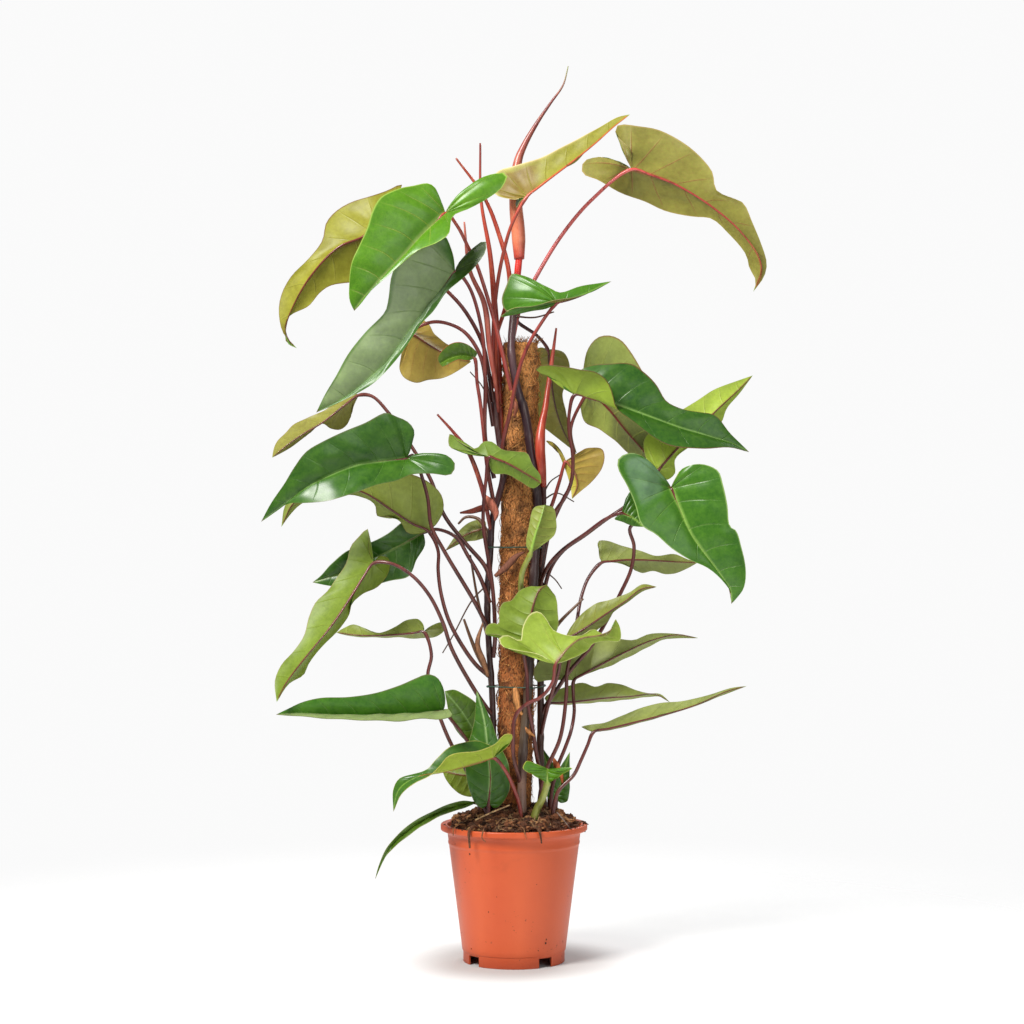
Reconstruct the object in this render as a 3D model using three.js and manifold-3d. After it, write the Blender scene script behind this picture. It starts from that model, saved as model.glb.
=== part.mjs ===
// A potted red emerald philodendron on a coir pole.
// Millimetres, +Z up, the origin at the middle of the pot's foot. The plant's face is toward -Y.

import * as THREE from 'three';
import Module from 'manifold-3d';

const wasm = await Module();
wasm.setup();
const { Manifold, Mesh } = wasm;

// Clear space kept between two pieces that touch on the real plant
const GAP = 0.3;

// Edges shorter than this are merged after a cut
const SLIVER = 0.08;

// Nursery pot: a thin tapered plastic cup with a rolled rim and a notched foot ring
const POT = {
  height: 159,
  rimRadius: 85,
  rimDepth: 7,
  topRadius: 77.5,
  footRadius: 60,
  ringRadius: 58.8,
  ringHeight: 13,
  wall: 1.8,
  floorTop: 16,
  floorBottom: 14,
  sides: 32,
  notches: 4,
  notchWidth: 18,
  notchDepth: 14,
  notchHeight: 11,
  notchTurn: 38,
  drains: 4,
  drainRadius: 6,
  drainCircle: 34,
};

// Soil: fills the pot and heaps up round the stems
const SOIL = { edgeHeight: 151, heap: 17, lump: 2.4, clearance: 0.5, sides: 28, rings: 4 };

// Coir pole: a coir sleeve on a wooden stake, leaning slightly
const POLE = {
  foot: [-2, 0, 18],
  top: [8, 0, 716],
  radius: 20,
  lump: 0.9,
  sides: 14,
  rings: 14,
  stakeRadius: 8,
  stakeSides: 16,
  cap: 12,
  stakeBelow: 20,
};

// Leaf blades: thickest along the midrib, which stands out on the underside. wave is the rim's tilt
// in degrees, arch the rise of a half as a share of its width, and leastLean bounds the extra
// thickness at a fold.
const BLADE = {
  thickness: 0.8,
  midribRise: 1.1,
  midribSteps: 7,
  veinLead: 0.12,
  arch: 0.07,
  wave: 9,
  leastLean: 0.4,
};

// Petioles: round stalks that thin toward the blade and run in under its midrib
const PETIOLE = {
  baseRadius: 2.6,
  tipRadius: 1.9,
  sides: 5,
  step: 28,
  reachUnderBlade: 0.1,
  depths: [0.2, 0.5],
  blunt: 0.45,
};

// Stems and shoots: sides and ring spacing of the main tube and of its branches
const ROD = { sides: 8, step: 26, branchSides: 5, branchStep: 16 };

// Half a blade's outline, as shares of its length (minus: of its back lobe's reach) and of its width
const OUTLINE = [
  [-0.6, 0.12], [-1, 0.5], [-0.5, 0.9], [0, 1], [0.25, 0.93], [0.45, 0.72], [0.65, 0.46], [0.85, 0.18],
];

// Colours
const LEAF_TOP = '#2f7d24';
const LEAF_UNDER = '#8aa03c';
const RED = '#c8553c';
const STEM = '#4a3d40';

// Leaves, listed from the top of the plant down. Every point is [x, y, z].
// faces: whether the blade shows its top or its underside to the front (-Y).
// midrib: from the petiole's end to the tip. leftRim and rightRim: the edge from the back lobe to the
// tip, where left lies to the left of someone who looks from the base to the tip.
// left and right, where a half keeps the plain outline: its width, the reach of its back lobe, and the
// tilts in degrees of the half and of its lobe toward the front.
// petiole: from the stem or the soil to the blade. thick widens it. phase shifts the wave of the rim.
const LEAVES = [
  {
    name: 'leaf_01', faces: 'under', phase: 1.7,
    midrib: [[136, -10, 916], [178, -14, 902], [222, -18, 876], [259, -20, 845], [281, -18, 817],
      [286, -12, 795], [277, -6, 775]],
    leftRim: [[135, 0, 940], [119, 10, 960], [121, 14, 971], [147, 12, 969], [170, 13, 965],
      [199, 7, 948], [219, 3, 930], [230, -2, 914], [234, -10, 892], [250, -9, 884], [265, -7, 878],
      [275, -12, 855], [286, -14, 828], [292, -11, 807], [289, -10, 792]],
    rightRim: [[114, 13, 931], [95, 31, 936], [82, 41, 932], [81, 41, 919], [98, 27, 909], [124, 17, 893],
      [153, 16, 882], [174, 14, 872], [207, 3, 863], [229, -9, 859], [246, -10, 844], [268, -9, 818],
      [273, -3, 803], [280, -7, 787]],
    petiole: [[-1, -17, 721], [7, -2, 756], [24, 4, 790], [55, 6, 841], [90, 0, 882]],
  },
  {
    name: 'leaf_02', faces: 'under', phase: 3.4,
    midrib: [[15, -45, 880], [35, -45, 896], [59, -44, 914], [89, -40, 938], [112, -36, 959],
      [133, -32, 976]],
    leftRim: [[-2, -37, 878], [-20, -29, 884], [-28, -25, 897], [-18, -25, 912], [-2, -27, 917],
      [30, -33, 926], [62, -33, 942], [94, -32, 959], [119, -31, 973]],
    right: { width: 37, reach: 16, tilt: -100, lobeTilt: -95 },
    petiole: [[-23, -9, 663], [-24, -18, 718], [-21, -28, 767], [-13, -36, 813], [-2, -42, 850]],
  },
  {
    name: 'leaf_03', faces: 'top', phase: 5.1,
    midrib: [[-77, -95, 855], [-101, -104, 831], [-126, -112, 802], [-152, -116, 775], [-169, -115, 756],
      [-178, -112, 744]],
    leftRim: [[-63, -93, 872], [-47, -94, 887], [-28, -95, 898], [-8, -96, 899], [-13, -98, 884],
      [-29, -100, 871], [-51, -100, 859], [-68, -104, 851], [-73, -123, 828], [-86, -124, 818],
      [-107, -117, 811], [-127, -118, 794], [-143, -118, 780], [-159, -117, 766], [-170, -116, 752]],
    rightRim: [[-86, -98, 868], [-87, -101, 879], [-95, -103, 887], [-114, -106, 884], [-131, -112, 879],
      [-148, -118, 870], [-157, -120, 855], [-163, -123, 835], [-171, -123, 817], [-180, -124, 797],
      [-183, -120, 774], [-183, -116, 756]],
    petiole: [[-3, -28, 660], [-18, -40, 721], [-27, -44, 754], [-43, -50, 803], [-52, -55, 821],
      [-64, -74, 843]],
  },
  {
    name: 'leaf_04', faces: 'under', phase: 0.5,
    midrib: [[-159, -15, 849], [-175, -16, 837], [-206, -18, 823], [-231, -14, 797], [-250, -8, 769],
      [-264, -2, 736], [-264, 0, 717], [-252, 2, 710]],
    leftRim: [[-146, -9, 844], [-132, 0, 824], [-142, 5, 801], [-165, 4, 788], [-191, -1, 786],
      [-213, -4, 782], [-225, -3, 774], [-238, -1, 759], [-261, -3, 746], [-266, -1, 728]],
    rightRim: [[-146, -2, 868], [-131, 20, 903], [-147, 12, 895], [-167, 7, 887], [-191, 9, 880],
      [-207, 7, 870], [-218, 1, 855], [-222, -7, 834], [-238, -6, 813], [-258, 0, 794], [-269, 4, 776],
      [-273, 4, 755], [-268, 1, 728]],
    petiole: [[-24, -11, 647], [-30, -14, 686], [-37, -18, 716], [-57, -26, 752], [-77, -30, 774],
      [-120, -26, 812]],
  },
  {
    name: 'leaf_05', faces: 'top', phase: 2.2,
    midrib: [[-67, -58, 793], [-84, -64, 771], [-102, -70, 747], [-121, -76, 721], [-140, -81, 693],
      [-165, -84, 669], [-192, -83, 648], [-223, -80, 632]],
    leftRim: [[-59, -60, 806], [-47, -62, 819], [-33, -64, 828], [-32, -66, 816], [-44, -68, 798],
      [-60, -69, 783], [-77, -70, 768], [-90, -76, 748], [-105, -78, 732], [-119, -84, 710],
      [-134, -88, 689], [-155, -91, 667], [-177, -88, 653], [-204, -83, 640]],
    rightRim: [[-71, -63, 803], [-72, -70, 821], [-79, -75, 832], [-100, -78, 826], [-124, -86, 811],
      [-137, -90, 787], [-141, -89, 760], [-145, -89, 745], [-166, -96, 722], [-185, -98, 698],
      [-200, -93, 672], [-212, -87, 653]],
    petiole: [[-23, -14, 559], [-33, -19, 604], [-33, -28, 668], [-37, -40, 729], [-52, -52, 778]],
  },
  {
    name: 'leaf_06', faces: 'under', phase: 3.9,
    midrib: [[-118, -42, 725], [-102, -46, 714], [-84, -50, 703], [-66, -52, 695], [-49, -52, 691]],
    leftRim: [[-115, -29, 735], [-107, -16, 743], [-99, -19, 737], [-90, -30, 723], [-76, -36, 712],
      [-59, -41, 703]],
    rightRim: [[-124, -39, 714], [-129, -35, 701], [-131, -32, 683], [-126, -32, 674], [-112, -35, 668],
      [-98, -39, 671], [-81, -43, 673], [-64, -48, 681]],
    petiole: [[-24, -12, 619], [-31, -16, 661], [-39, -32, 700], [-57, -42, 726], [-79, -46, 736],
      [-97, -46, 736]],
  },
  {
    name: 'leaf_07', faces: 'top', phase: 5.6,
    midrib: [[-45, -62, 695], [-59, -66, 697], [-72, -66, 694], [-84, -64, 688]],
    leftRim: [[-52, -71, 691], [-63, -72, 692], [-72, -73, 688], [-80, -71, 684]],
    rightRim: [[-42, -65, 700], [-50, -69, 708], [-61, -73, 712], [-72, -72, 710], [-81, -71, 703],
      [-86, -68, 695]],
    petiole: [[-23, -13, 528], [-31, -24, 574], [-35, -36, 614], [-39, -42, 648], [-42, -50, 667]],
  },
  {
    name: 'leaf_08', faces: 'under', phase: 1.0,
    midrib: [[-178, -30, 654], [-194, -34, 643], [-213, -38, 626], [-235, -42, 613], [-257, -45, 598],
      [-276, -46, 582]],
    leftRim: [[-184, -28, 646], [-187, -20, 634], [-192, -15, 622], [-201, -17, 615], [-211, -27, 616],
      [-220, -38, 621], [-239, -39, 606], [-258, -41, 592]],
    rightRim: [[-187, -19, 658], [-201, -16, 653], [-212, -22, 641], [-229, -21, 632], [-250, -19, 623],
      [-264, -24, 610], [-274, -30, 597]],
    petiole: [[-27, -7, 441], [-34, -8, 458], [-57, -9, 485], [-81, -11, 517], [-96, -14, 557],
      [-119, -18, 597], [-145, -24, 635], [-163, -28, 653]],
  },
  {
    name: 'leaf_09', faces: 'top', phase: 2.7,
    midrib: [[-122, -78, 580], [-148, -88, 577], [-175, -97, 573], [-203, -105, 562], [-232, -109, 547],
      [-258, -106, 527], [-283, -100, 509]],
    leftRim: [[-106, -80, 585], [-88, -84, 586], [-73, -88, 582], [-66, -90, 573], [-71, -92, 562],
      [-92, -92, 563], [-116, -92, 562], [-132, -98, 555], [-154, -107, 550], [-178, -118, 541],
      [-204, -122, 533], [-232, -116, 530], [-253, -107, 529], [-270, -103, 518]],
    rightRim: [[-115, -85, 596], [-112, -90, 611], [-119, -93, 621], [-132, -98, 627], [-143, -104, 631],
      [-167, -108, 619], [-191, -113, 609], [-213, -118, 598], [-231, -119, 587], [-244, -119, 570],
      [-256, -114, 551], [-271, -108, 530]],
    petiole: [[-27, -5, 379], [-44, -22, 414], [-80, -46, 476], [-94, -56, 504], [-98, -62, 536],
      [-105, -66, 562], [-113, -70, 584]],
  },
  {
    name: 'leaf_11', faces: 'under', phase: 6.1,
    midrib: [[-98, -40, 498], [-126, -50, 512], [-157, -58, 535], [-186, -63, 547], [-222, -66, 546],
      [-248, -65, 532], [-264, -62, 503]],
    leftRim: [[-108, -33, 495], [-122, -31, 496], [-130, -44, 509], [-140, -45, 514], [-156, -38, 515],
      [-159, -50, 529], [-177, -55, 538], [-204, -55, 539], [-230, -57, 535], [-246, -58, 526],
      [-258, -61, 512]],
    rightRim: [[-88, -37, 507], [-81, -34, 522], [-83, -32, 539], [-92, -35, 550], [-106, -42, 559],
      [-130, -49, 566], [-164, -55, 568], [-203, -61, 563], [-237, -63, 552], [-259, -63, 529]],
    petiole: [[-28, -5, 329], [-44, -16, 344], [-60, -24, 367], [-75, -29, 396], [-84, -31, 428],
      [-87, -33, 454], [-87, -36, 476]],
  },
  {
    name: 'leaf_12', faces: 'top', phase: 1.6,
    midrib: [[-105, -12, 496], [-129, -16, 483], [-157, -20, 469], [-194, -22, 451], [-232, -22, 439]],
    leftRim: [[-103, -15, 482], [-114, -20, 462], [-121, -25, 446], [-142, -26, 441], [-165, -27, 435],
      [-188, -26, 433], [-212, -24, 435]],
    rightRim: [[-113, -19, 504], [-126, -27, 509], [-145, -28, 495], [-167, -31, 484], [-190, -34, 476],
      [-209, -31, 461], [-223, -24, 446]],
    petiole: [[-28, -5, 415], [-39, -10, 444], [-53, -13, 469], [-67, -16, 491], [-89, -16, 500]],
  },
  {
    name: 'leaf_13', faces: 'under', phase: 3.3,
    midrib: [[-159, -70, 462], [-174, -75, 441], [-190, -82, 414], [-209, -88, 387], [-228, -92, 364],
      [-244, -94, 344], [-258, -95, 324], [-266, -95, 307]],
    leftRim: [[-152, -47, 470], [-143, -34, 465], [-144, -28, 450], [-156, -36, 435], [-173, -59, 426],
      [-184, -72, 416], [-187, -64, 403], [-195, -65, 391], [-213, -77, 372], [-231, -79, 350],
      [-238, -74, 336], [-254, -90, 326]],
    rightRim: [[-165, -56, 478], [-168, -38, 501], [-178, -42, 491], [-186, -44, 481], [-191, -53, 462],
      [-201, -57, 446], [-211, -60, 431], [-225, -61, 418], [-232, -67, 401], [-237, -76, 381],
      [-249, -81, 362], [-262, -81, 348], [-269, -84, 331]],
    petiole: [[-25, -5, 284], [-44, -22, 313], [-71, -48, 364], [-81, -60, 395], [-96, -70, 426],
      [-116, -76, 449], [-139, -76, 462]],
  },
  {
    name: 'leaf_14', faces: 'under', phase: 5.0,
    midrib: [[-104, -20, 382], [-129, -13, 379], [-157, -7, 377], [-182, -3, 377], [-206, 0, 380]],
    leftRim: [[-93, -14, 388], [-84, -10, 393], [-79, -6, 390], [-81, -2, 382], [-93, 4, 375],
      [-109, 8, 373], [-133, 10, 374], [-165, 12, 374], [-191, 6, 376]],
    rightRim: [[-105, -13, 390], [-111, -5, 396], [-123, -1, 395], [-136, -3, 388], [-148, -5, 382],
      [-159, -4, 380], [-173, 3, 385], [-187, 8, 389], [-198, 5, 385]],
    petiole: [[-38, -12, 146], [-38, -12, 167], [-43, -15, 193], [-55, -22, 223], [-72, -27, 253],
      [-85, -29, 284], [-94, -28, 310], [-99, -26, 333], [-95, -24, 356]],
  },
  {
    name: 'leaf_15', faces: 'top', phase: 0.4,
    midrib: [[-81, -60, 294], [-109, -66, 292], [-140, -72, 291], [-179, -77, 291], [-219, -78, 292],
      [-244, -76, 293], [-269, -72, 291]],
    leftRim: [[-72, -94, 295], [-69, -110, 292], [-85, -96, 288], [-105, -94, 288], [-132, -101, 286],
      [-163, -99, 287], [-197, -99, 288], [-229, -93, 290], [-251, -86, 291]],
    rightRim: [[-78, -64, 306], [-80, -70, 321], [-88, -75, 334], [-98, -79, 337], [-112, -80, 332],
      [-131, -82, 324], [-153, -83, 317], [-184, -85, 312], [-216, -85, 311], [-238, -81, 306],
      [-255, -76, 298]],
    petiole: [[-29, -22, 147], [-29, -22, 168], [-35, -18, 211], [-44, -20, 238], [-56, -32, 261],
      [-70, -48, 281]],
  },
  {
    name: 'leaf_16', faces: 'top', phase: 2.1,
    midrib: [[-23, -62, 241], [-45, -70, 235], [-70, -78, 229], [-91, -82, 225], [-113, -84, 220],
      [-129, -82, 208], [-136, -78, 182]],
    leftRim: [[-12, -74, 251], [-3, -80, 262], [-2, -86, 269], [-11, -92, 270], [-22, -98, 260],
      [-38, -103, 253], [-57, -106, 252], [-73, -107, 247], [-84, -104, 236], [-95, -98, 224],
      [-112, -94, 216], [-127, -88, 202]],
    rightRim: [[-18, -58, 251], [-30, -58, 256], [-44, -60, 260], [-61, -64, 258], [-76, -70, 252],
      [-87, -74, 242], [-98, -78, 230], [-115, -80, 224], [-130, -80, 219], [-136, -78, 207]],
    petiole: [[8, -40, 150], [8, -40, 163], [7, -42, 182], [-1, -50, 207], [-11, -58, 228]],
  },
  {
    name: 'leaf_17', faces: 'top', phase: 3.8,
    midrib: [[-29, -38, 187], [-27, -40, 217], [-30, -38, 248], [-34, -32, 281], [-43, -26, 315]],
    leftRim: [[-36, -36, 181], [-45, -34, 187], [-50, -33, 199], [-55, -33, 217], [-55, -32, 236],
      [-52, -31, 256], [-46, -30, 277], [-44, -28, 297]],
    rightRim: [[-22, -36, 181], [-13, -34, 187], [-6, -33, 200], [-5, -34, 219], [-8, -34, 236],
      [-17, -34, 254], [-25, -31, 277], [-34, -28, 297]],
    petiole: [[-29, -38, 149], [-29, -38, 165], [-29, -38, 177]],
  },
  {
    name: 'leaf_18', faces: 'under', phase: 5.5,
    midrib: [[-32, -2, 217], [-58, -3, 215], [-83, -4, 220]],
    leftRim: [[-37, 2, 204], [-45, 7, 190], [-58, 6, 190], [-70, 3, 198], [-79, -1, 210]],
    rightRim: [[-37, 9, 226], [-51, 17, 231], [-68, 12, 229]],
    petiole: [[-34, 2, 144], [-34, 2, 165], [-31, 1, 192]],
  },
  {
    name: 'leaf_19', faces: 'top', phase: 0.9,
    midrib: [[-37, -9, 248], [-51, -10, 275], [-65, -12, 296], [-80, -12, 313]],
    leftRim: [[-45, -12, 249], [-59, -15, 259], [-69, -17, 272], [-75, -17, 288], [-78, -14, 302]],
    rightRim: [[-32, -13, 260], [-35, -16, 282], [-44, -18, 300], [-58, -17, 310], [-69, -15, 315]],
    petiole: [[-30, 12, 143], [-30, 12, 164], [-30, 8, 214]],
  },
  {
    name: 'leaf_20', faces: 'top', phase: 2.6,
    midrib: [[-44, -29, 186], [-67, -42, 183], [-95, -56, 173], [-123, -68, 156], [-140, -76, 141],
      [-150, -78, 124], [-157, -76, 105]],
    leftRim: [[-57, -46, 182], [-75, -57, 178], [-95, -68, 170], [-115, -76, 158], [-132, -82, 145],
      [-143, -79, 134], [-151, -80, 119]],
    rightRim: [[-57, -40, 190], [-75, -50, 187], [-95, -60, 179], [-115, -69, 169], [-133, -76, 154],
      [-145, -80, 139], [-153, -79, 120]],
    petiole: [[-30, -31, 148], [-30, -31, 162], [-34, -30, 180]],
  },
  {
    name: 'leaf_21', faces: 'top', phase: 4.3,
    midrib: [[49, -64, 757], [67, -62, 762], [84, -58, 769], [99, -53, 777], [111, -48, 783]],
    leftRim: [[27, -57, 753], [7, -51, 751], [-10, -46, 750], [-14, -45, 762], [-9, -45, 777],
      [-3, -45, 792], [7, -48, 790], [25, -53, 783], [41, -58, 774], [52, -60, 769], [73, -57, 776],
      [94, -52, 780]],
    rightRim: [[35, -66, 750], [12, -70, 746], [-16, -72, 740], [0, -78, 750], [24, -78, 752],
      [43, -74, 759], [63, -68, 762], [86, -58, 769]],
    petiole: [[-13, -23, 560], [-14, -29, 571], [-13, -33, 596], [-3, -40, 640], [2, -46, 667],
      [10, -52, 695], [23, -60, 722]],
  },
  {
    name: 'leaf_22', faces: 'under', phase: 6.0,
    midrib: [[40, 42, 711], [44, 62, 679], [50, 82, 644], [61, 102, 614], [76, 117, 591]],
    leftRim: [[52, 46, 711], [60, 52, 707], [66, 61, 695], [64, 71, 677], [58, 77, 661], [62, 89, 642],
      [66, 99, 623], [72, 111, 604]],
    rightRim: [[31, 45, 714], [22, 48, 708], [20, 63, 686], [20, 79, 660], [25, 93, 631], [42, 101, 617],
      [60, 108, 603]],
    petiole: [[-3, -8, 749], [6, 12, 740], [28, 30, 726]],
  },
  {
    name: 'leaf_23', faces: 'top', phase: 1.4,
    midrib: [[69, -60, 653], [93, -64, 647], [115, -68, 641], [148, -71, 630], [185, -72, 616],
      [222, -70, 605], [245, -66, 598], [267, -60, 588]],
    leftRim: [[72, -58, 665], [75, -56, 680], [89, -56, 687], [111, -59, 688], [134, -60, 688],
      [150, -63, 676], [162, -66, 663], [173, -68, 645], [188, -69, 637], [211, -67, 633],
      [228, -66, 629], [246, -65, 608]],
    rightRim: [[52, -64, 662], [37, -68, 674], [24, -72, 680], [30, -77, 686], [50, -84, 684],
      [72, -91, 680], [92, -95, 677], [104, -94, 667], [110, -89, 654], [116, -82, 637], [134, -86, 622],
      [155, -92, 605], [177, -96, 594], [209, -94, 591], [241, -80, 593]],
    petiole: [[30, 6, 457], [37, -11, 499], [44, -19, 515], [59, -30, 538], [66, -38, 557],
      [67, -45, 585], [63, -50, 611], [63, -56, 634]],
  },
  {
    name: 'leaf_24', faces: 'under', phase: 3.1,
    midrib: [[88, 4, 659], [105, 3, 645], [125, 1, 620], [151, 0, 590], [179, 0, 559]],
    leftRim: [[81, 6, 673], [81, 9, 690], [86, 11, 709], [97, 13, 723], [110, 14, 726], [124, 14, 721],
      [136, 14, 707], [149, 12, 685], [161, 9, 660], [170, 6, 629], [177, 3, 594]],
    rightRim: [[80, 13, 654], [78, 23, 642], [83, 30, 626], [101, 22, 616], [117, 17, 604],
      [133, 14, 589], [156, 8, 571]],
    petiole: [[31, 7, 444], [42, 12, 499], [57, 14, 534], [69, 14, 557], [70, 13, 586], [66, 12, 616],
      [75, 10, 641]],
  },
  {
    name: 'leaf_25', faces: 'under', phase: 4.8,
    midrib: [[166, -25, 568], [188, -20, 593], [211, -14, 615], [236, -7, 639], [258, 2, 659],
      [278, 10, 679]],
    leftRim: [[156, -23, 576], [150, -19, 590], [151, -15, 605], [166, -13, 619], [186, -9, 633],
      [212, -4, 649], [232, 0, 662], [258, 6, 672]],
    rightRim: [[176, -12, 557], [186, -8, 565], [186, -16, 581], [201, -11, 594], [223, -3, 608],
      [240, 4, 623], [247, 2, 640], [263, 6, 659]],
    petiole: [[31, 9, 409], [42, 8, 453], [57, 4, 475], [82, -2, 493], [106, -8, 511], [129, -14, 527],
      [147, -20, 545]],
  },
  {
    name: 'leaf_26', faces: 'top', phase: 0.2,
    midrib: [[177, -78, 547], [188, -82, 520], [199, -84, 495], [215, -83, 472], [231, -79, 451],
      [244, -73, 432], [246, -68, 416]],
    leftRim: [[184, -81, 557], [187, -84, 567], [200, -88, 573], [215, -91, 573], [229, -94, 566],
      [234, -96, 551], [239, -97, 528], [242, -95, 504], [249, -95, 499], [255, -91, 481],
      [261, -83, 455], [259, -77, 434], [252, -72, 423]],
    rightRim: [[168, -83, 559], [155, -89, 574], [142, -94, 583], [129, -98, 586], [117, -100, 580],
      [116, -99, 570], [127, -94, 549], [136, -93, 528], [143, -97, 505], [159, -95, 495],
      [177, -93, 479], [198, -89, 466], [218, -83, 457], [235, -77, 443], [246, -72, 427]],
    petiole: [[30, 9, 274], [34, 8, 289], [48, 4, 311], [65, -1, 336], [88, -6, 363], [108, -8, 396],
      [122, -11, 424], [135, -17, 454], [138, -25, 481], [133, -33, 502], [150, -42, 514],
      [170, -58, 530]],
  },
  {
    name: 'leaf_27', faces: 'top', phase: 1.9,
    midrib: [[123, -46, 519], [136, -48, 513], [148, -50, 503]],
    leftRim: [[126, -44, 530], [133, -41, 543], [140, -44, 529], [146, -48, 513]],
    rightRim: [[115, -44, 512], [123, -45, 509], [136, -47, 504]],
    petiole: [[30, 6, 427], [32, 1, 441], [40, -7, 458], [56, -17, 476], [82, -29, 495], [105, -39, 512]],
  },
  {
    name: 'leaf_28', faces: 'under', phase: 3.6,
    midrib: [[102, 10, 461], [126, 9, 464], [156, 8, 464], [187, 9, 462], [214, 12, 461]],
    leftRim: [[100, 18, 473], [99, 25, 486], [110, 24, 486], [128, 19, 480], [147, 15, 475],
      [165, 12, 469], [187, 14, 471], [202, 13, 465]],
    rightRim: [[119, 11, 462], [133, 16, 457], [149, 25, 449], [164, 22, 451], [179, 25, 447],
      [196, 21, 451]],
    petiole: [[28, -19, 147], [28, -19, 167], [31, -20, 200], [38, -22, 225], [53, -25, 260],
      [60, -27, 309], [61, -24, 336], [68, -15, 367], [73, -8, 395], [78, 0, 421], [87, 7, 444]],
  },
  {
    name: 'leaf_29', faces: 'under', phase: 5.3,
    midrib: [[59, -42, 374], [81, -42, 387], [105, -38, 403], [128, -35, 418], [147, -32, 432],
      [164, -30, 434]],
    leftRim: [[61, -36, 381], [68, -32, 392], [78, -27, 403], [93, -24, 414], [113, -27, 420],
      [133, -29, 428], [148, -27, 437]],
    rightRim: [[71, -34, 371], [91, -32, 382], [107, -30, 394], [113, -34, 404], [131, -33, 417],
      [148, -29, 429]],
    petiole: [[31, 10, 253], [33, 3, 269], [40, -12, 299], [51, -28, 336], [54, -36, 356]],
  },
  {
    name: 'leaf_30', faces: 'under', phase: 0.8,
    midrib: [[70, 12, 324], [91, 10, 337], [114, 8, 349], [142, 8, 363], [168, 10, 373], [191, 13, 377],
      [215, 15, 373]],
    leftRim: [[54, 9, 333], [36, 4, 327], [26, -2, 323], [23, -3, 335], [29, 0, 347], [49, 8, 358],
      [77, 22, 367], [112, 16, 373], [140, 11, 371], [158, 12, 378], [189, 13, 378]],
    rightRim: [[89, 15, 333], [110, 24, 339], [129, 23, 348], [153, 23, 360], [175, 19, 371]],
    petiole: [[42, -8, 145], [42, -8, 166], [44, -9, 199], [51, -9, 227], [59, -9, 247], [66, -9, 267],
      [70, 3, 289], [69, 10, 308]],
  },
  {
    name: 'leaf_31', faces: 'under', phase: 2.5,
    midrib: [[47, -72, 348], [60, -68, 365], [75, -61, 376], [91, -56, 379], [105, -52, 380],
      [116, -50, 398]],
    leftRim: [[29, -67, 358], [7, -61, 363], [-14, -55, 368], [-17, -54, 377], [-7, -56, 380],
      [7, -60, 374], [10, -55, 390], [18, -53, 404], [28, -54, 407], [35, -56, 400], [45, -61, 386],
      [61, -61, 380], [77, -59, 380], [90, -54, 387], [102, -52, 381], [112, -51, 388]],
    rightRim: [[66, -64, 354], [84, -52, 363], [90, -53, 370], [105, -49, 373], [121, -43, 373],
      [121, -46, 388]],
    petiole: [[8, -26, 205], [5, -33, 219], [0, -39, 237], [-1, -45, 262], [2, -49, 288], [14, -53, 301],
      [31, -59, 310], [44, -67, 328]],
  },
  {
    name: 'leaf_32', faces: 'under', phase: 4.2,
    midrib: [[14, -53, 368], [18, -50, 395], [23, -47, 417], [29, -44, 431], [37, -42, 437]],
    leftRim: [[1, -49, 372], [-16, -44, 380], [-33, -40, 381], [-31, -39, 390], [-25, -40, 393],
      [-18, -42, 392], [-17, -40, 407], [-13, -39, 416], [-3, -41, 419], [6, -41, 430], [18, -41, 435],
      [30, -43, 435]],
    rightRim: [[25, -50, 367], [41, -45, 374], [50, -42, 387], [50, -40, 407], [48, -37, 422],
      [42, -40, 431]],
    petiole: [[31, 6, 212], [30, -4, 223], [27, -14, 235], [21, -29, 273], [16, -34, 301], [15, -37, 333],
      [11, -46, 363]],
  },
  {
    name: 'leaf_33', faces: 'under', phase: 5.9, thick: 1.5,
    midrib: [[19, -49, 473], [24, -51, 493], [30, -51, 511], [35, -48, 528]],
    leftRim: [[14, -47, 482], [17, -47, 504], [23, -45, 525]],
    rightRim: [[32, -45, 482], [47, -40, 495], [48, -41, 513], [45, -43, 525]],
    petiole: [[21, -20, 393], [13, -27, 412], [8, -31, 431], [10, -41, 453]],
  },
  {
    name: 'leaf_34', faces: 'under', phase: 1.3,
    midrib: [[-28, -56, 583], [-9, -57, 576], [11, -55, 565], [31, -50, 553]],
    leftRim: [[-42, -52, 587], [-57, -47, 591], [-74, -42, 595], [-73, -40, 610], [-63, -44, 601],
      [-50, -49, 593], [-42, -51, 593], [-35, -50, 600], [-25, -51, 600], [-13, -53, 591], [2, -51, 589],
      [15, -49, 587], [21, -51, 574], [30, -49, 562]],
    rightRim: [[-28, -52, 574], [-23, -49, 564], [-8, -51, 563], [7, -49, 555], [22, -46, 547]],
    petiole: [[-24, -5, 352], [-22, -12, 372], [-23, -20, 412], [-26, -26, 444], [-35, -36, 503],
      [-35, -42, 525], [-32, -50, 556]],
  },
  {
    name: 'leaf_35', faces: 'under', phase: 3.0,
    midrib: [[60, -12, 579], [70, -14, 565], [73, -14, 550], [67, -14, 535]],
    leftRim: [[71, -9, 586], [86, -5, 594], [102, -3, 593], [105, -4, 584], [101, -6, 569],
      [89, -10, 554], [76, -13, 543]],
    rightRim: [[50, -3, 590], [37, 8, 603], [44, 4, 601], [52, -5, 587], [59, -9, 570], [65, -9, 551]],
    petiole: [[31, 6, 490], [41, 0, 520], [46, -5, 534], [53, -9, 557]],
  },
  {
    name: 'leaf_36', faces: 'under', phase: 4.7,
    midrib: [[41, 17, 296], [75, 17, 299], [110, 18, 303], [145, 20, 305], [165, 22, 307], [183, 24, 297]],
    leftRim: [[36, 26, 303], [49, 31, 310], [68, 36, 317], [82, 37, 319], [96, 32, 315], [110, 35, 319],
      [124, 34, 318], [141, 27, 312], [157, 23, 308], [171, 25, 307]],
    rightRim: [[54, 27, 294], [89, 32, 296], [124, 32, 299], [154, 29, 303], [171, 24, 304]],
    petiole: [[33, 12, 285]],
  },
  {
    name: 'leaf_37', faces: 'under', phase: 0.1,
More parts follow.
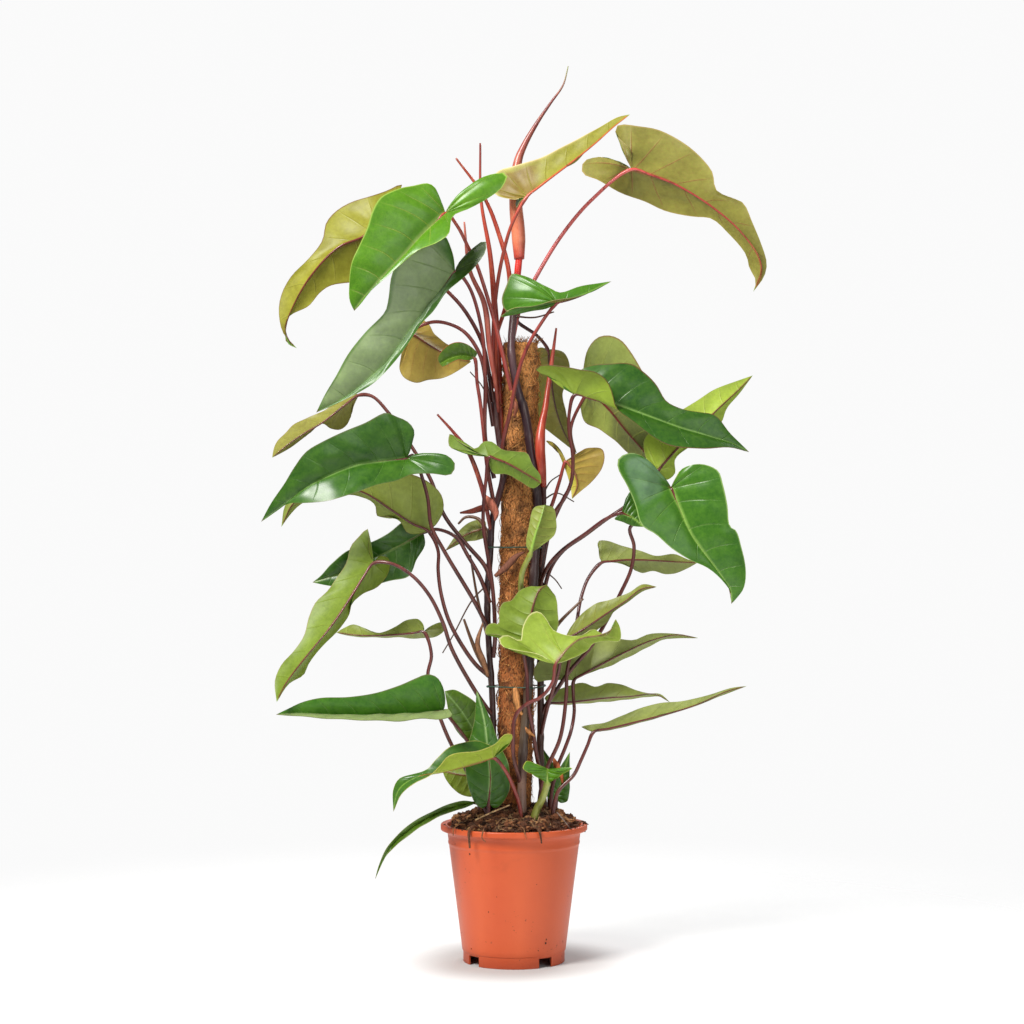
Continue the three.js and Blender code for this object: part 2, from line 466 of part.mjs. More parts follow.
    midrib: [[92, -14, 266], [114, -14, 271], [147, -12, 279], [186, -8, 289], [221, -3, 300],
      [247, -1, 312], [270, 0, 318]],
    leftRim: [[87, -9, 269], [78, -1, 271], [89, -7, 274], [104, -8, 276], [125, -4, 284], [148, 0, 293],
      [169, 2, 298], [198, 1, 301], [227, 1, 308], [253, 1, 316]],
    rightRim: [[113, -8, 268], [146, -6, 276], [178, -5, 285], [211, -1, 295], [239, 3, 306]],
    petiole: [[44, -22, 147], [44, -22, 168], [51, -20, 198], [69, -18, 217], [77, -16, 233],
      [85, -15, 251]],
  },
  {
    name: 'leaf_38', faces: 'top', phase: 1.8, thick: 2.0,
    midrib: [[38, -46, 211], [38, -50, 219], [38, -54, 228]],
    leftRim: [[30, -52, 216], [18, -62, 224], [10, -68, 230], [14, -67, 238], [23, -62, 235],
      [31, -58, 230]],
    rightRim: [[47, -53, 216], [57, -62, 224], [66, -69, 230], [54, -63, 230], [44, -56, 226]],
    petiole: [[22, -38, 149], [22, -38, 163], [25, -38, 177], [33, -42, 194]],
  },
  {
    name: 'leaf_39', faces: 'top', phase: 3.5,
    midrib: [[50, 8, 188], [55, 8, 208], [65, 8, 241]],
    left: { width: 12, reach: 5, tilt: 10, lobeTilt: 10 },
    right: { width: 13, reach: 5, tilt: 10, lobeTilt: 10 },
    petiole: [[48, 8, 143], [48, 8, 162]],
  },
  {
    name: 'leaf_40', faces: 'under', phase: 5.2,
    midrib: [[-35, 18, 501], [-57, 20, 493], [-81, 22, 474]],
    left: { width: 12, reach: 4, tilt: -20, lobeTilt: -20 },
    right: { width: 13, reach: 4, tilt: -20, lobeTilt: -20 },
    petiole: [[-29, 0, 492], [-30, 9, 498]],
  },
  {
    name: 'leaf_41', faces: 'top', phase: 0.6,
    midrib: [[41, 24, 195], [40, 24, 220], [32, 24, 247]],
    left: { width: 11, reach: 5, tilt: 10, lobeTilt: 10 },
    right: { width: 12, reach: 5, tilt: 10, lobeTilt: 10 },
    petiole: [[41, 24, 141], [41, 24, 160]],
  },
];

// Stems, from the soil up. path: middle line. radii: even steps along it. branches: what grows from
// the stem and is one with it, such as air roots, old leaf stalks and node bulges.
const STEMS = [
  {
    name: 'stem_front',
    path: [[9, -29, 132], [9, -27, 201], [11, -26, 258], [16, -23, 315], [22, -18, 430], [25, -14, 488],
      [27, -13, 534], [20, -23, 583], [13, -27, 631], [3, -28, 666], [-3, -26, 704], [-1, -15, 744],
      [3, -6, 785], [6, -3, 815]],
    radii: [5.2, 5.2, 5, 5, 5, 5.2, 5.2, 5, 4.6, 4.2, 4],
    branches: [
      {
        path: [[-1, -15, 746], [24, -22, 744], [46, -26, 750]],
        radii: [1.2, 0.8],
      },
    ],
  },
  {
    name: 'stem_left',
    path: [[-28, -8, 129], [-27, -8, 170], [-24, -6, 233], [-25, -5, 302], [-29, -4, 365], [-31, -4, 424],
      [-28, -5, 464], [-25, -8, 511], [-17, -17, 540], [-12, -22, 563], [-15, -18, 589], [-20, -13, 626],
      [-23, -8, 659]],
    radii: [3.6, 3.6, 3.6, 3.6, 3.6, 3.8, 3.8, 4],
    branches: [
      {
        path: [[-32, -2, 435], [-49, 2, 417], [-70, 6, 378], [-83, 6, 356]],
        radii: [1, 0.7],
      },
      {
        path: [[-20, -12, 626], [-37, 2, 666], [-51, 6, 683]],
        radii: [1, 0.7],
      },
      {
        path: [[-29, -5, 330], [-42, -4, 354], [-51, -5, 376], [-58, -7, 396]],
        radii: [2.4, 2.4, 1.4],
      },
      {
        path: [[-30, 0, 372], [-42, 6, 418], [-51, 8, 470]],
        radii: [2, 1.6, 1.2],
      },
      {
        path: [[-27, -4, 482], [-40, 6, 511], [-56, 10, 514], [-65, 10, 506]],
        radii: [2.4, 2.6, 2, 1.2],
      },
    ],
  },
  {
    name: 'stem_right',
    path: [[36, 6, 127], [35, 6, 171], [31, 7, 232], [31, 9, 284], [31, 12, 348], [31, 11, 406],
      [31, 9, 453], [33, 8, 479], [33, 4, 511], [34, -4, 537], [33, -14, 557]],
    radii: [4, 4, 4, 4, 3.8, 3.6, 3.6],
    branches: [
      {
        path: [[34, -6, 541], [42, -4, 555], [53, 0, 563]],
        radii: [1, 0.7],
      },
      {
        path: [[34, -3, 534], [50, 8, 542], [70, 14, 532]],
        radii: [1, 0.7],
      },
      {
        path: [[30, 9, 457], [39, 20, 449], [49, 26, 440], [56, 28, 430]],
        radii: [1, 0.7],
      },
      {
        path: [[31, 12, 359], [41, -2, 376], [53, -12, 393], [80, -14, 420]],
        radii: [2.4, 2.2, 1.2],
      },
    ],
  },
];

// Shoots and sheaths: rolled young leaves with their stalks, each a tube along its path
const SHOOTS = [
  {
    name: 'shoot_top',
    path: [[6, -3, 813], [5, -2, 841], [2, -1, 876], [2, 0, 905], [5, 2, 929], [13, 3, 948], [28, 4, 974],
      [43, 5, 996], [57, 5, 1016], [63, 5, 1038]],
    radii: [6, 8, 8.2, 7.6, 7, 5.4, 3.8, 2.8, 2, 1.5, 1, 0.6], sides: 8,
  },
  {
    name: 'shoot_tall_left',
    path: [[-15, -18, 578], [-17, -2, 668], [-20, -4, 719], [-23, -10, 766], [-28, -12, 820],
      [-38, -12, 880], [-39, -12, 946]],
    radii: [3, 3.6, 4, 4, 3.2, 2.4, 1.6, 1.2],
    branches: [
      {
        path: [[-20, -3, 725], [-5, 4, 785], [-19, 0, 847], [-36, -6, 887], [-67, -10, 929]],
        radii: [2, 2.8, 2.8, 2.6, 2, 1.2], step: 18,
      },
    ],
  },
  {
    name: 'shoot_pink',
    path: [[-18, -14, 635], [-21, -22, 666], [-28, -32, 708], [-34, -37, 758], [-51, -38, 798],
      [-57, -38, 852]],
    radii: [1.6, 3, 3.4, 2.4, 1],
  },
  {
    name: 'shoot_right',
    path: [[34, -11, 550], [32, -22, 571], [30, -29, 591], [31, -26, 614], [36, -18, 640], [39, -12, 660],
      [44, -7, 696], [49, -5, 733]],
    radii: [3.6, 4.8, 5.8, 5.8, 4.4, 3.6, 3.2, 2.8, 2.4, 1.8, 1.2], step: 14,
  },
  {
    name: 'shoot_low_left',
    path: [[-27, -8, 499], [-37, -26, 548], [-53, -32, 590], [-69, -32, 611], [-88, -32, 632]],
    radii: [2, 2.8, 2.8, 2.2, 1.2],
  },
];

// Wire ties round the pole and the stems that are named
const TIE = { sides: 24, wireSides: 4, slack: 0.75, sleeveSlack: 0.4 };
const TIES = [
  { name: 'tie_upper', height: 479, wire: 0.8, around: ['stem_left', 'stem_front'] },
  { name: 'tie_lower', height: 318, wire: 0.8, around: ['stem_left', 'stem_front', 'stem_right'] },
];

// Roots that hang from the soil over the pot's rim
const RIM_ROOTS = [
  {
    path: [[-36, -52, 156], [-43, -62, 163], [-48.5, -69.5, 162.4], [-51, -72.2, 158],
      [-50.6, -71.8, 148], [-50, -71.4, 140]],
    radii: [1.4, 1.3, 1.2, 1], sides: 5, step: 6,
  },
  {
    path: [[20, -60, 156], [24, -72, 163], [27.5, -81, 162.2], [29.5, -84, 157], [31, -83.4, 147]],
    radii: [1.3, 1.2, 1.1, 0.9], sides: 5, step: 6,
  },
];

// Small helpers
const vector = ([x, y, z]) => new THREE.Vector3(x, y, z);
const radians = THREE.MathUtils.degToRad;
const mix = THREE.MathUtils.lerp;
const curveThrough = (points) => new THREE.CatmullRomCurve3(points.map(vector), false, 'centripetal');

// A closed geometry from corner points and faces
function geometryFrom(points, faces) {
  const geometry = new THREE.BufferGeometry();
  const positions = points.flatMap((point) => [point.x, point.y, point.z]);
  geometry.setAttribute('position', new THREE.Float32BufferAttribute(positions, 3));
  geometry.setIndex(faces.flat());
  return geometry;
}

// A solid from a closed geometry whose corners are shared
function solidFrom(geometry) {
  return new Manifold(new Mesh({
    numProp: 3,
    vertProperties: geometry.attributes.position.array,
    triVerts: new Uint32Array(geometry.index.array),
  }));
}

function geometryOf(solid) {
  const { vertProperties, triVerts } = solid.getMesh();
  const geometry = new THREE.BufferGeometry();
  geometry.setAttribute('position', new THREE.BufferAttribute(new Float32Array(vertProperties), 3));
  geometry.setIndex(new THREE.BufferAttribute(new Uint32Array(triVerts), 1));
  return geometry;
}

// The largest body of a solid, without the slivers and scraps that a cut leaves
function largestBody(solid) {
  const bodies = solid.simplify(SLIVER).decompose();
  return bodies.reduce((best, body) => (body.volume() > best.volume() ? body : best));
}

// A round tube along a curve, closed at both ends. radiusAt takes the share of the length, and extra
// widens and lengthens the tube for the room that a neighbour keeps free.
function tubeSolid(curve, radiusAt, sides, steps, extra = 0) {
  const frames = curve.computeFrenetFrames(steps, false);
  const points = [];
  const faces = [];
  for (let step = 0; step <= steps; step += 1) {
    const end = (step === steps) - (step === 0);
    const centre = curve.getPointAt(step / steps).addScaledVector(frames.tangents[step], end * extra);
    const radius = radiusAt(step / steps) + extra;
    for (let side = 0; side < sides; side += 1) {
      const turn = (2 * Math.PI * side) / sides;
      points.push(centre.clone()
        .addScaledVector(frames.normals[step], radius * Math.cos(turn))
        .addScaledVector(frames.binormals[step], radius * Math.sin(turn)));
    }
  }
  for (let step = 0; step < steps; step += 1) {
    for (let side = 0; side < sides; side += 1) {
      const next = (side + 1) % sides;
      const low = step * sides;
      const high = low + sides;
      faces.push([low + side, low + next, high + next], [low + side, high + next, high + side]);
    }
  }
  const last = steps * sides;
  for (let side = 1; side < sides - 1; side += 1) {
    faces.push([0, side + 1, side], [last, last + side, last + side + 1]);
  }
  return solidFrom(geometryFrom(points, faces));
}

const stepsFor = (curve, step) => Math.max(2, Math.round(curve.getLength() / step));

// A solid turned round the Z axis from a closed profile of [radius, height] points
function turnedSolid(profile, sides) {
  const outline = [...profile, profile[0]].map(([radius, height]) => new THREE.Vector2(radius, height));
  const lathe = new THREE.LatheGeometry(outline, sides);
  lathe.rotateX(Math.PI / 2);
  return solidFrom(shared(lathe));
}

// The same geometry with one corner where several lie together, and no face without width
function shared(geometry) {
  const { position } = geometry.attributes;
  const places = new Map();
  const points = [];
  const corner = [];
  for (let i = 0; i < position.count; i += 1) {
    const point = new THREE.Vector3().fromBufferAttribute(position, i);
    const key = point.toArray().map((value) => Math.round(value * 1000)).join(' ');
    if (!places.has(key)) {
      places.set(key, points.length);
      points.push(point);
    }
    corner.push(places.get(key));
  }
  const faces = [];
  for (let i = 0; i < geometry.index.count; i += 3) {
    const face = [0, 1, 2].map((k) => corner[geometry.index.getX(i + k)]);
    if (new Set(face).size === 3) faces.push(face);
  }
  return geometryFrom(points, faces);
}

// Pot
function potSolid() {
  const { height, rimRadius, rimDepth, topRadius, footRadius, ringRadius, ringHeight, wall } = POT;
  const { floorTop, floorBottom, sides } = POT;
  let pot = turnedSolid([
    [ringRadius - wall, 0], [ringRadius, 0], [ringRadius, ringHeight], [footRadius, ringHeight + 1],
    [topRadius, height - rimDepth], [rimRadius - 1, height - rimDepth], [rimRadius, height - rimDepth + 1.5],
    [rimRadius, height - 1.5], [rimRadius - 1.5, height], [topRadius, height - 0.5],
    [topRadius - wall, height - 3], [footRadius - wall, floorTop], [0, floorTop],
    [0, floorBottom], [ringRadius - wall, floorBottom],
  ], sides);
  for (let k = 0; k < POT.notches; k += 1) {
    const notch = new THREE.BoxGeometry(POT.notchDepth, POT.notchWidth, 2 * POT.notchHeight);
    notch.translate(ringRadius, 0, 0);
    notch.rotateZ(radians(POT.notchTurn - 90 + (360 * k) / POT.notches));
    pot = pot.subtract(solidFrom(shared(notch)));
  }
  for (let k = 0; k < POT.drains; k += 1) {
    const drain = new THREE.CylinderGeometry(POT.drainRadius, POT.drainRadius, 6 * POT.wall, 12);
    drain.rotateX(Math.PI / 2);
    drain.translate(POT.drainCircle, 0, floorTop);
    drain.rotateZ(radians(POT.notchTurn - 45 + (360 * k) / POT.drains));
    pot = pot.subtract(solidFrom(shared(drain)));
  }
  return pot;
}

// Height of the soil heap at a radius and turn, with soft lumps
function soilHeight(share, turn) {
  const wide = Math.sin(3 * turn + 5 * share);
  const narrow = 0.6 * Math.sin(7 * turn - 9 * share) + 0.5 * Math.sin(11 * turn);
  const lumps = wide + narrow;
  return SOIL.edgeHeight + SOIL.heap * (1 - share ** 2) + SOIL.lump * lumps * share * (1.4 - share);
}

// Radius of the pot's inside at a height
function potInside(height) {
  const share = (height - POT.floorTop) / (POT.height - 3 - POT.floorTop);
  return mix(POT.footRadius, POT.topRadius, share) - POT.wall;
}

function soilSolid() {
  const { sides, rings, edgeHeight } = SOIL;
  const bottom = POT.floorTop + GAP;
  const points = [new THREE.Vector3(0, 0, bottom), new THREE.Vector3(0, 0, soilHeight(0, 0))];
  const faces = [];
  const ring = (radius, heightAt) => {
    for (let side = 0; side < sides; side += 1) {
      const turn = (2 * Math.PI * side) / sides;
      points.push(new THREE.Vector3(radius * Math.cos(turn), radius * Math.sin(turn), heightAt(turn)));
    }
  };
  ring(potInside(bottom) - SOIL.clearance, () => bottom);
  const edgeRadius = potInside(edgeHeight - 6) - SOIL.clearance;
  for (let k = rings; k > 0; k -= 1) {
    ring((edgeRadius * k) / rings, (turn) => soilHeight(k / rings, turn));
  }
  const corner = (row, k) => 2 + row * sides + (k % sides);
  for (let k = 0; k < sides; k += 1) {
    faces.push([0, corner(0, k + 1), corner(0, k)], [1, corner(rings, k), corner(rings, k + 1)]);
    for (let row = 0; row < rings; row += 1) {
      faces.push([corner(row, k), corner(row, k + 1), corner(row + 1, k + 1)]);
      faces.push([corner(row, k), corner(row + 1, k + 1), corner(row + 1, k)]);
    }
  }
  return solidFrom(geometryFrom(points, faces));
}

// Coir pole: the sleeve is closed over the top of the stake
const poleAxis = () => new THREE.LineCurve3(vector(POLE.foot), vector(POLE.top));

function poleRadius(height, turn) {
  return POLE.radius + POLE.lump * (Math.sin(4 * turn + 0.07 * height) * Math.cos(0.11 * height));
}

function poleSolid(extra = 0) {
  const axis = poleAxis();
  const length = axis.getLength();
  const points = [new THREE.Vector3(0, 0, 0), new THREE.Vector3(0, 0, length)];
  const faces = [];
  const { sides, rings } = POLE;
  for (let k = 0; k <= rings; k += 1) {
    for (let side = 0; side < sides; side += 1) {
      const turn = (2 * Math.PI * side) / sides;
      const height = (length * k) / rings;
      const radius = poleRadius(height, turn) + extra;
      points.push(new THREE.Vector3(radius * Math.cos(turn), radius * Math.sin(turn), height));
    }
  }
  const corner = (row, k) => 2 + row * sides + (k % sides);
  for (let k = 0; k < sides; k += 1) {
    faces.push([0, corner(0, k + 1), corner(0, k)], [1, corner(rings, k), corner(rings, k + 1)]);
    for (let row = 0; row < rings; row += 1) {
      faces.push([corner(row, k), corner(row, k + 1), corner(row + 1, k + 1)]);
      faces.push([corner(row, k), corner(row + 1, k + 1), corner(row + 1, k)]);
    }
  }
  const geometry = geometryFrom(points, faces);
  const upright = new THREE.Vector3(0, 0, 1);
  geometry.applyQuaternion(new THREE.Quaternion().setFromUnitVectors(upright, axis.getTangent(0)));
  geometry.translate(...POLE.foot);
  return solidFrom(geometry);
}

// The stake runs along the same axis, from below the sleeve's foot to short of its top
function stakeSolid(radius, below, short) {
  const axis = poleAxis();
  const direction = axis.getTangent(0);
  const foot = vector(POLE.foot).addScaledVector(direction, -below);
  const top = vector(POLE.top).addScaledVector(direction, -short);
  return tubeSolid(new THREE.LineCurve3(foot, top), () => radius, POLE.stakeSides, 1);
}

// Stems and shoots are tubes whose radius follows a list of values along them
function radiusAlong(radii) {
  return (share) => {
    const place = share * (radii.length - 1);
    const k = Math.min(Math.floor(place), radii.length - 2);
    return mix(radii[k], radii[k + 1], place - k);
  };
}

function rodSolid({ path, radii, sides = ROD.sides, step = ROD.step }, extra = 0) {
  const curve = curveThrough(path);
  return tubeSolid(curve, radiusAlong(radii), sides, stepsFor(curve, step), extra);
}

// A stem fused with the roots and sheaths that grow from it
function stemSolid(stem, extra = 0) {
  const branches = (stem.branches ?? []).map((branch) => rodSolid(
    { sides: ROD.branchSides, step: ROD.branchStep, ...branch },
    extra,
  ));
  return Manifold.union([rodSolid(stem, extra), ...branches]);
}

// Direction square to the midrib that faces the front, and the way to the left half
function bladeFrame(curve, share) {
  const tangent = curve.getTangentAt(share);
  const front = new THREE.Vector3(0, -1, 0).addScaledVector(tangent, tangent.y).normalize();
  const left = new THREE.Vector3().crossVectors(front, tangent);
  return { tangent, front, left };
}

// Share of the midrib from which a vein leaves for a rim point that lies beside the share given
const veinFoot = (beside) => Math.max(0, (beside - BLADE.veinLead) / (1 - BLADE.veinLead)) ** 1.15;

// Share of the midrib that lies nearest to a point
function nearestShare(curve, point) {
  const places = curve.getSpacedPoints(60);
  const distances = places.map((place) => place.distanceTo(point));
  return distances.indexOf(Math.min(...distances)) / 60;
}

// Rim points of one half from the lobe to the tip, each with the midrib foot of its vein. A half has
// either its own rim points or a width, a lobe reach and tilts that shape the plain outline.
function halfRows(leaf, curve, side) {
  const rim = side > 0 ? leaf.leftRim : leaf.rightRim;
  if (rim) {
    let foot = 0;
    return rim.map(vector).map((point) => {
      foot = Math.max(foot, veinFoot(nearestShare(curve, point)));
      return { point, foot };
    });
  }
  const half = side > 0 ? leaf.left : leaf.right;
  const length = curve.getLength();
  return OUTLINE.map(([along, across]) => {
    const distance = along < 0 ? along * half.reach : along * length;
    const { tangent, front, left } = bladeFrame(curve, Math.max(0, along));
    const lobe = 1 - THREE.MathUtils.smoothstep(along, -0.05, 0.42);
    const angle = radians(mix(half.tilt, half.lobeTilt, lobe) + BLADE.wave * Math.sin(9 * along + leaf.phase));
    const point = curve.getPointAt(Math.max(0, along))
      .addScaledVector(tangent, Math.min(0, distance))
      .addScaledVector(left, side * Math.cos(angle) * across * half.width)
      .addScaledVector(front, Math.sin(angle) * across * half.width);
    return { point, foot: veinFoot(Math.max(0, along)) };
  });
}

// A point of a half between a vein's foot and its rim point. The half arches toward its upper face.
function bladePoint(leaf, curve, side, row, column) {
  const foot = curve.getPointAt(row.foot);
  const { tangent, front } = bladeFrame(curve, row.foot);
  const across = row.point.clone().sub(foot);
  const square = new THREE.Vector3().crossVectors(tangent, across).multiplyScalar(side);
  square.addScaledVector(front, 0.2 * across.length()).normalize();
  const arch = (leaf.faces === 'top' ? 1 : -1) * BLADE.arch * 4 * column * (1 - column) * across.length();
  return foot.addScaledVector(across, column).addScaledVector(square, arch);
}

function bladeSolid(leaf) {
  const curve = curveThrough(leaf.midrib);
  const steps = BLADE.midribSteps;
  const points = [];
  const shares = [];
  const add = (point, share) => {
    points.push(point);
    shares.push(share);
    return points.length - 1;
  };
  const midrib = Array.from({ length: steps + 1 }, (_, k) => add(curve.getPointAt(k / steps), k / steps));
  const faces = [];
  const rims = [1, -1].map((side) => {
    const keep = (a, b, c) => {
      if (new Set([a, b, c]).size === 3) faces.push(side > 0 ? [a, b, c] : [a, c, b]);
    };
    const rows = halfRows(leaf, curve, side);
    const feet = [0, ...rows.map((row) => row.foot), 1];
    const [inner, rim] = [0.5, 1].map((column) => {
      const line = rows.map((row) => add(bladePoint(leaf, curve, side, row, column), null));
      return [midrib[0], ...line, midrib[steps]];
    });
    let [along, row] = [0, 0];
    while (along < steps || row < inner.length - 1) {
      const midribFirst = along < steps && (along + 1) / steps <= feet[row + 1];
      if (row === inner.length - 1 || midribFirst) {
        keep(midrib[along], midrib[along + 1], inner[row]);
        along += 1;
      } else {
        keep(midrib[along], inner[row + 1], inner[row]);
        row += 1;
      }
    }
    for (let k = 0; k < rim.length - 1; k += 1) {
      keep(inner[k], inner[k + 1], rim[k + 1]);
      keep(inner[k], rim[k + 1], rim[k]);
    }
    return rim;
  });
  return thickened(points, faces, [...rims[0], ...rims[1].reverse().slice(1, -1)], shares, leaf);
}

// Gives a curved sheet its thickness, and its midrib the rise on the underside
function thickened(points, faces, rim, shares, leaf) {
  const normals = points.map(() => new THREE.Vector3());
  const faceNormals = faces.map(([a, b, c]) => new THREE.Vector3()
    .crossVectors(points[b].clone().sub(points[a]), points[c].clone().sub(points[a])));
  faces.forEach((face, k) => face.forEach((i) => normals[i].add(faceNormals[k].clone().normalize())));
  normals.forEach((normal) => normal.normalize());
  const lean = points.map(() => 1);
  faces.forEach((face, k) => face.forEach((i) => {
    const cosine = normals[i].dot(faceNormals[k].clone().normalize());
    lean[i] = Math.min(lean[i], Math.max(BLADE.leastLean, cosine));
  }));
  const half = BLADE.thickness / 2;
  const rise = shares.map((share) => (share === null ? 0 : BLADE.midribRise * (1 - share) ** 0.7));
  const frontRise = leaf.faces === 'under' ? 1 : 0;
  const count = points.length;
  const front = points.map((point, i) => point.clone()
    .addScaledVector(normals[i], half / lean[i] + frontRise * rise[i]));
  const back = points.map((point, i) => point.clone()
    .addScaledVector(normals[i], -half / lean[i] - (1 - frontRise) * rise[i]));
  const walls = rim.flatMap((i, k) => {
    const next = rim[(k + 1) % rim.length];
    return [[i, next, next + count], [i, next + count, i + count]];
  });
  const backFaces = faces.map(([a, b, c]) => [a + count, c + count, b + count]);
  return solidFrom(geometryFrom([...front, ...back], [...faces, ...backFaces, ...walls]));
}

// The petiole runs a little way along the underside of the midrib, so that it holds the blade
function petioleSolid(leaf, extra = 0) {
  const midrib = curveThrough(leaf.midrib);
  const back = leaf.faces === 'under' ? 1 : -1;
  const under = (share, depth) => midrib.getPointAt(share)
    .addScaledVector(bladeFrame(midrib, share).front, back * depth);
  const ends = [under(0, PETIOLE.depths[0]), under(PETIOLE.reachUnderBlade, PETIOLE.depths[1])];
  const curve = new THREE.CatmullRomCurve3([...leaf.petiole.map(vector), ...ends], false, 'centripetal');
  const thick = leaf.thick ?? 1;
  const radiusAt = (share) => {
    const blunt = share === 1 ? PETIOLE.blunt : 1;
    return blunt * thick * mix(PETIOLE.baseRadius, PETIOLE.tipRadius, share);
  };
  return tubeSolid(curve, radiusAt, PETIOLE.sides, stepsFor(curve, PETIOLE.step), extra);
}

// A wire tie: a ring drawn tight round the pole and the stems beside it at one height
function tieSolid({ height, wire, around }) {
  const share = (height - POLE.foot[2]) / (POLE.top[2] - POLE.foot[2]);
  const centre = poleAxis().getPointAt(share);
  const circles = [[centre.x, centre.y, POLE.radius + POLE.lump + TIE.sleeveSlack]];
  for (const name of around) {
    const { path, radii } = STEMS.find((stem) => stem.name === name);
    const curve = curveThrough(path);
    const off = (point) => Math.abs(point.z - height);
    const near = curve.getSpacedPoints(400).reduce((best, point) => (off(point) < off(best) ? point : best));
    circles.push([near.x, near.y, Math.max(...radii)]);
  }
  const points = [];
  for (let k = 0; k < TIE.sides; k += 1) {
    const turn = (2 * Math.PI * k) / TIE.sides;
    const direction = [Math.cos(turn), Math.sin(turn)];
    const reach = (c) => (c[0] - centre.x) * direction[0] + (c[1] - centre.y) * direction[1] + c[2];
    const widest = circles.reduce((best, c) => (reach(c) > reach(best) ? c : best));
    const radius = widest[2] + wire + TIE.slack;
    points.push([widest[0] + radius * direction[0], widest[1] + radius * direction[1], height]);
  }
  return loopSolid(points, wire, TIE.wireSides);
}

// A closed ring of wire through points that lie at one height
function loopSolid(points, radius, sides) {
  const corners = [];
  const faces = [];
  const count = points.length;
  points.forEach(([x, y, z], k) => {
    const [before, after] = [points[(k + count - 1) % count], points[(k + 1) % count]];
    const out = new THREE.Vector3(after[1] - before[1], before[0] - after[0], 0).normalize();
    for (let side = 0; side < sides; side += 1) {
      const turn = (2 * Math.PI * side) / sides;
      corners.push(new THREE.Vector3(x, y, z + radius * Math.sin(turn))
        .addScaledVector(out, radius * Math.cos(turn)));
    }
  });
  for (let k = 0; k < count; k += 1) {
    const after = (k + 1) % count;
    for (let side = 0; side < sides; side += 1) {
      const next = (side + 1) % sides;
      faces.push([k * sides + side, after * sides + side, after * sides + next]);
      faces.push([k * sides + side, after * sides + next, k * sides + next]);
    }
  }
  return solidFrom(geometryFrom(corners, faces));
}

// The plant put together
const plant = new THREE.Group();

function add(name, solid, colour, roughness = 0.6) {
  const material = new THREE.MeshStandardMaterial({ color: colour, roughness, metalness: 0 });
  const mesh = new THREE.Mesh(geometryOf(solid), material);
  mesh.name = name;
  plant.add(mesh);
}

const stemRoom = Manifold.union(STEMS.map((stem) => stemSolid(stem, GAP)));
const sleeveRoom = poleSolid(GAP);

add('pot', potSolid(), '#e0673c', 0.45);

const bore = stakeSolid(POLE.stakeRadius + GAP, POLE.stakeBelow, POLE.cap);
add('coir_pole', poleSolid().subtract(bore), '#8a5a2e', 0.95);
add('pole_stake', stakeSolid(POLE.stakeRadius, 0, POLE.cap + GAP), '#b08a5a', 0.8);

for (const stem of STEMS) add(stem.name, stemSolid(stem), STEM, 0.6);
for (const shoot of SHOOTS) add(shoot.name, largestBody(stemSolid(shoot).subtract(stemRoom)), RED, 0.5);

for (const leaf of LEAVES) {
  const whole = bladeSolid(leaf).add(petioleSolid(leaf));
  add(leaf.name, largestBody(whole.subtract(stemRoom)), leaf.faces === 'top' ? LEAF_TOP : LEAF_UNDER, 0.4);
}

const rooted = LEAVES.filter((leaf) => leaf.petiole[0][2] < SOIL.edgeHeight + SOIL.heap);
const holes = Manifold.union([stemRoom, sleeveRoom, ...rooted.map((leaf) => petioleSolid(leaf, GAP))]);
const soil = Manifold.union([soilSolid(), ...RIM_ROOTS.map((root) => rodSolid(root))]);
add('soil', largestBody(soil.subtract(holes)), '#4a3020', 1);

for (const tie of TIES) add(tie.name, tieSolid(tie), '#1f4a3a', 0.5);

export default plant;
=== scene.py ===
import math

import bmesh
import bpy
import numpy as np
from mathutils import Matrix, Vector


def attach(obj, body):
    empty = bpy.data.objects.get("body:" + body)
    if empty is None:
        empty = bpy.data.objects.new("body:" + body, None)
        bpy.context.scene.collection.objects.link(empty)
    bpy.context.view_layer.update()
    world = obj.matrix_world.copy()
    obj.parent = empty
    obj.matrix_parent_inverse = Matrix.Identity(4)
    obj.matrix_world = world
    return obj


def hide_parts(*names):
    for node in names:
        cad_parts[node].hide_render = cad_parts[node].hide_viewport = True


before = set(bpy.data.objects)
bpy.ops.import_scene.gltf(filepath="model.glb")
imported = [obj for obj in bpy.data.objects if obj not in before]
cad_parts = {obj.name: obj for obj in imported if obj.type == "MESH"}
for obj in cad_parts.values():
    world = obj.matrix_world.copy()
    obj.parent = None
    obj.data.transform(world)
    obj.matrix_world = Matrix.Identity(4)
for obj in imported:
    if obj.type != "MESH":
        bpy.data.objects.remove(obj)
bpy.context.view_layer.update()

# CAMERA
# Level with the middle of the plant and nearly three metres away, on a long lens, so that the pot's
# rim is seen a little from above and the top leaves a little from below.
EYE, VIEW_WIDTH = (-0.0023, -2.8, 0.52), 1.188
camera_data = bpy.data.cameras.new("camera")
camera_data.sensor_width = 36
camera_data.lens = camera_data.sensor_width * -EYE[1] / VIEW_WIDTH
camera = bpy.data.objects.new("camera", camera_data)
camera.location = EYE
camera.rotation_euler = (math.radians(90), 0, 0)
bpy.context.scene.collection.objects.link(camera)
bpy.context.scene.camera = camera

# POT
# A thin nursery pot, injection moulded in satin terracotta-coloured plastic, with a rolled rim and a
# foot ring that is notched for drainage. Handling has left a few flecks of soil on it.
POT = dict(height=159, rim=85, rim_depth=7, top=77.5, foot=60, ring=58.8, ring_height=13, wall=1.8,
           floor_top=16, floor_bottom=14, notches=4, notch_width=18, notch_height=11, notch_turn=38,
           drains=4, drain_radius=6, drain_circle=34)


def paint(r, g, b):
    """A colour given as 0 to 255 in each channel, as the shader wants it."""
    linear = [c / 255 / 12.92 if c / 255 <= 0.04045 else ((c / 255 + 0.055) / 1.055) ** 2.4
              for c in (r, g, b)]
    return (*linear, 1.0)


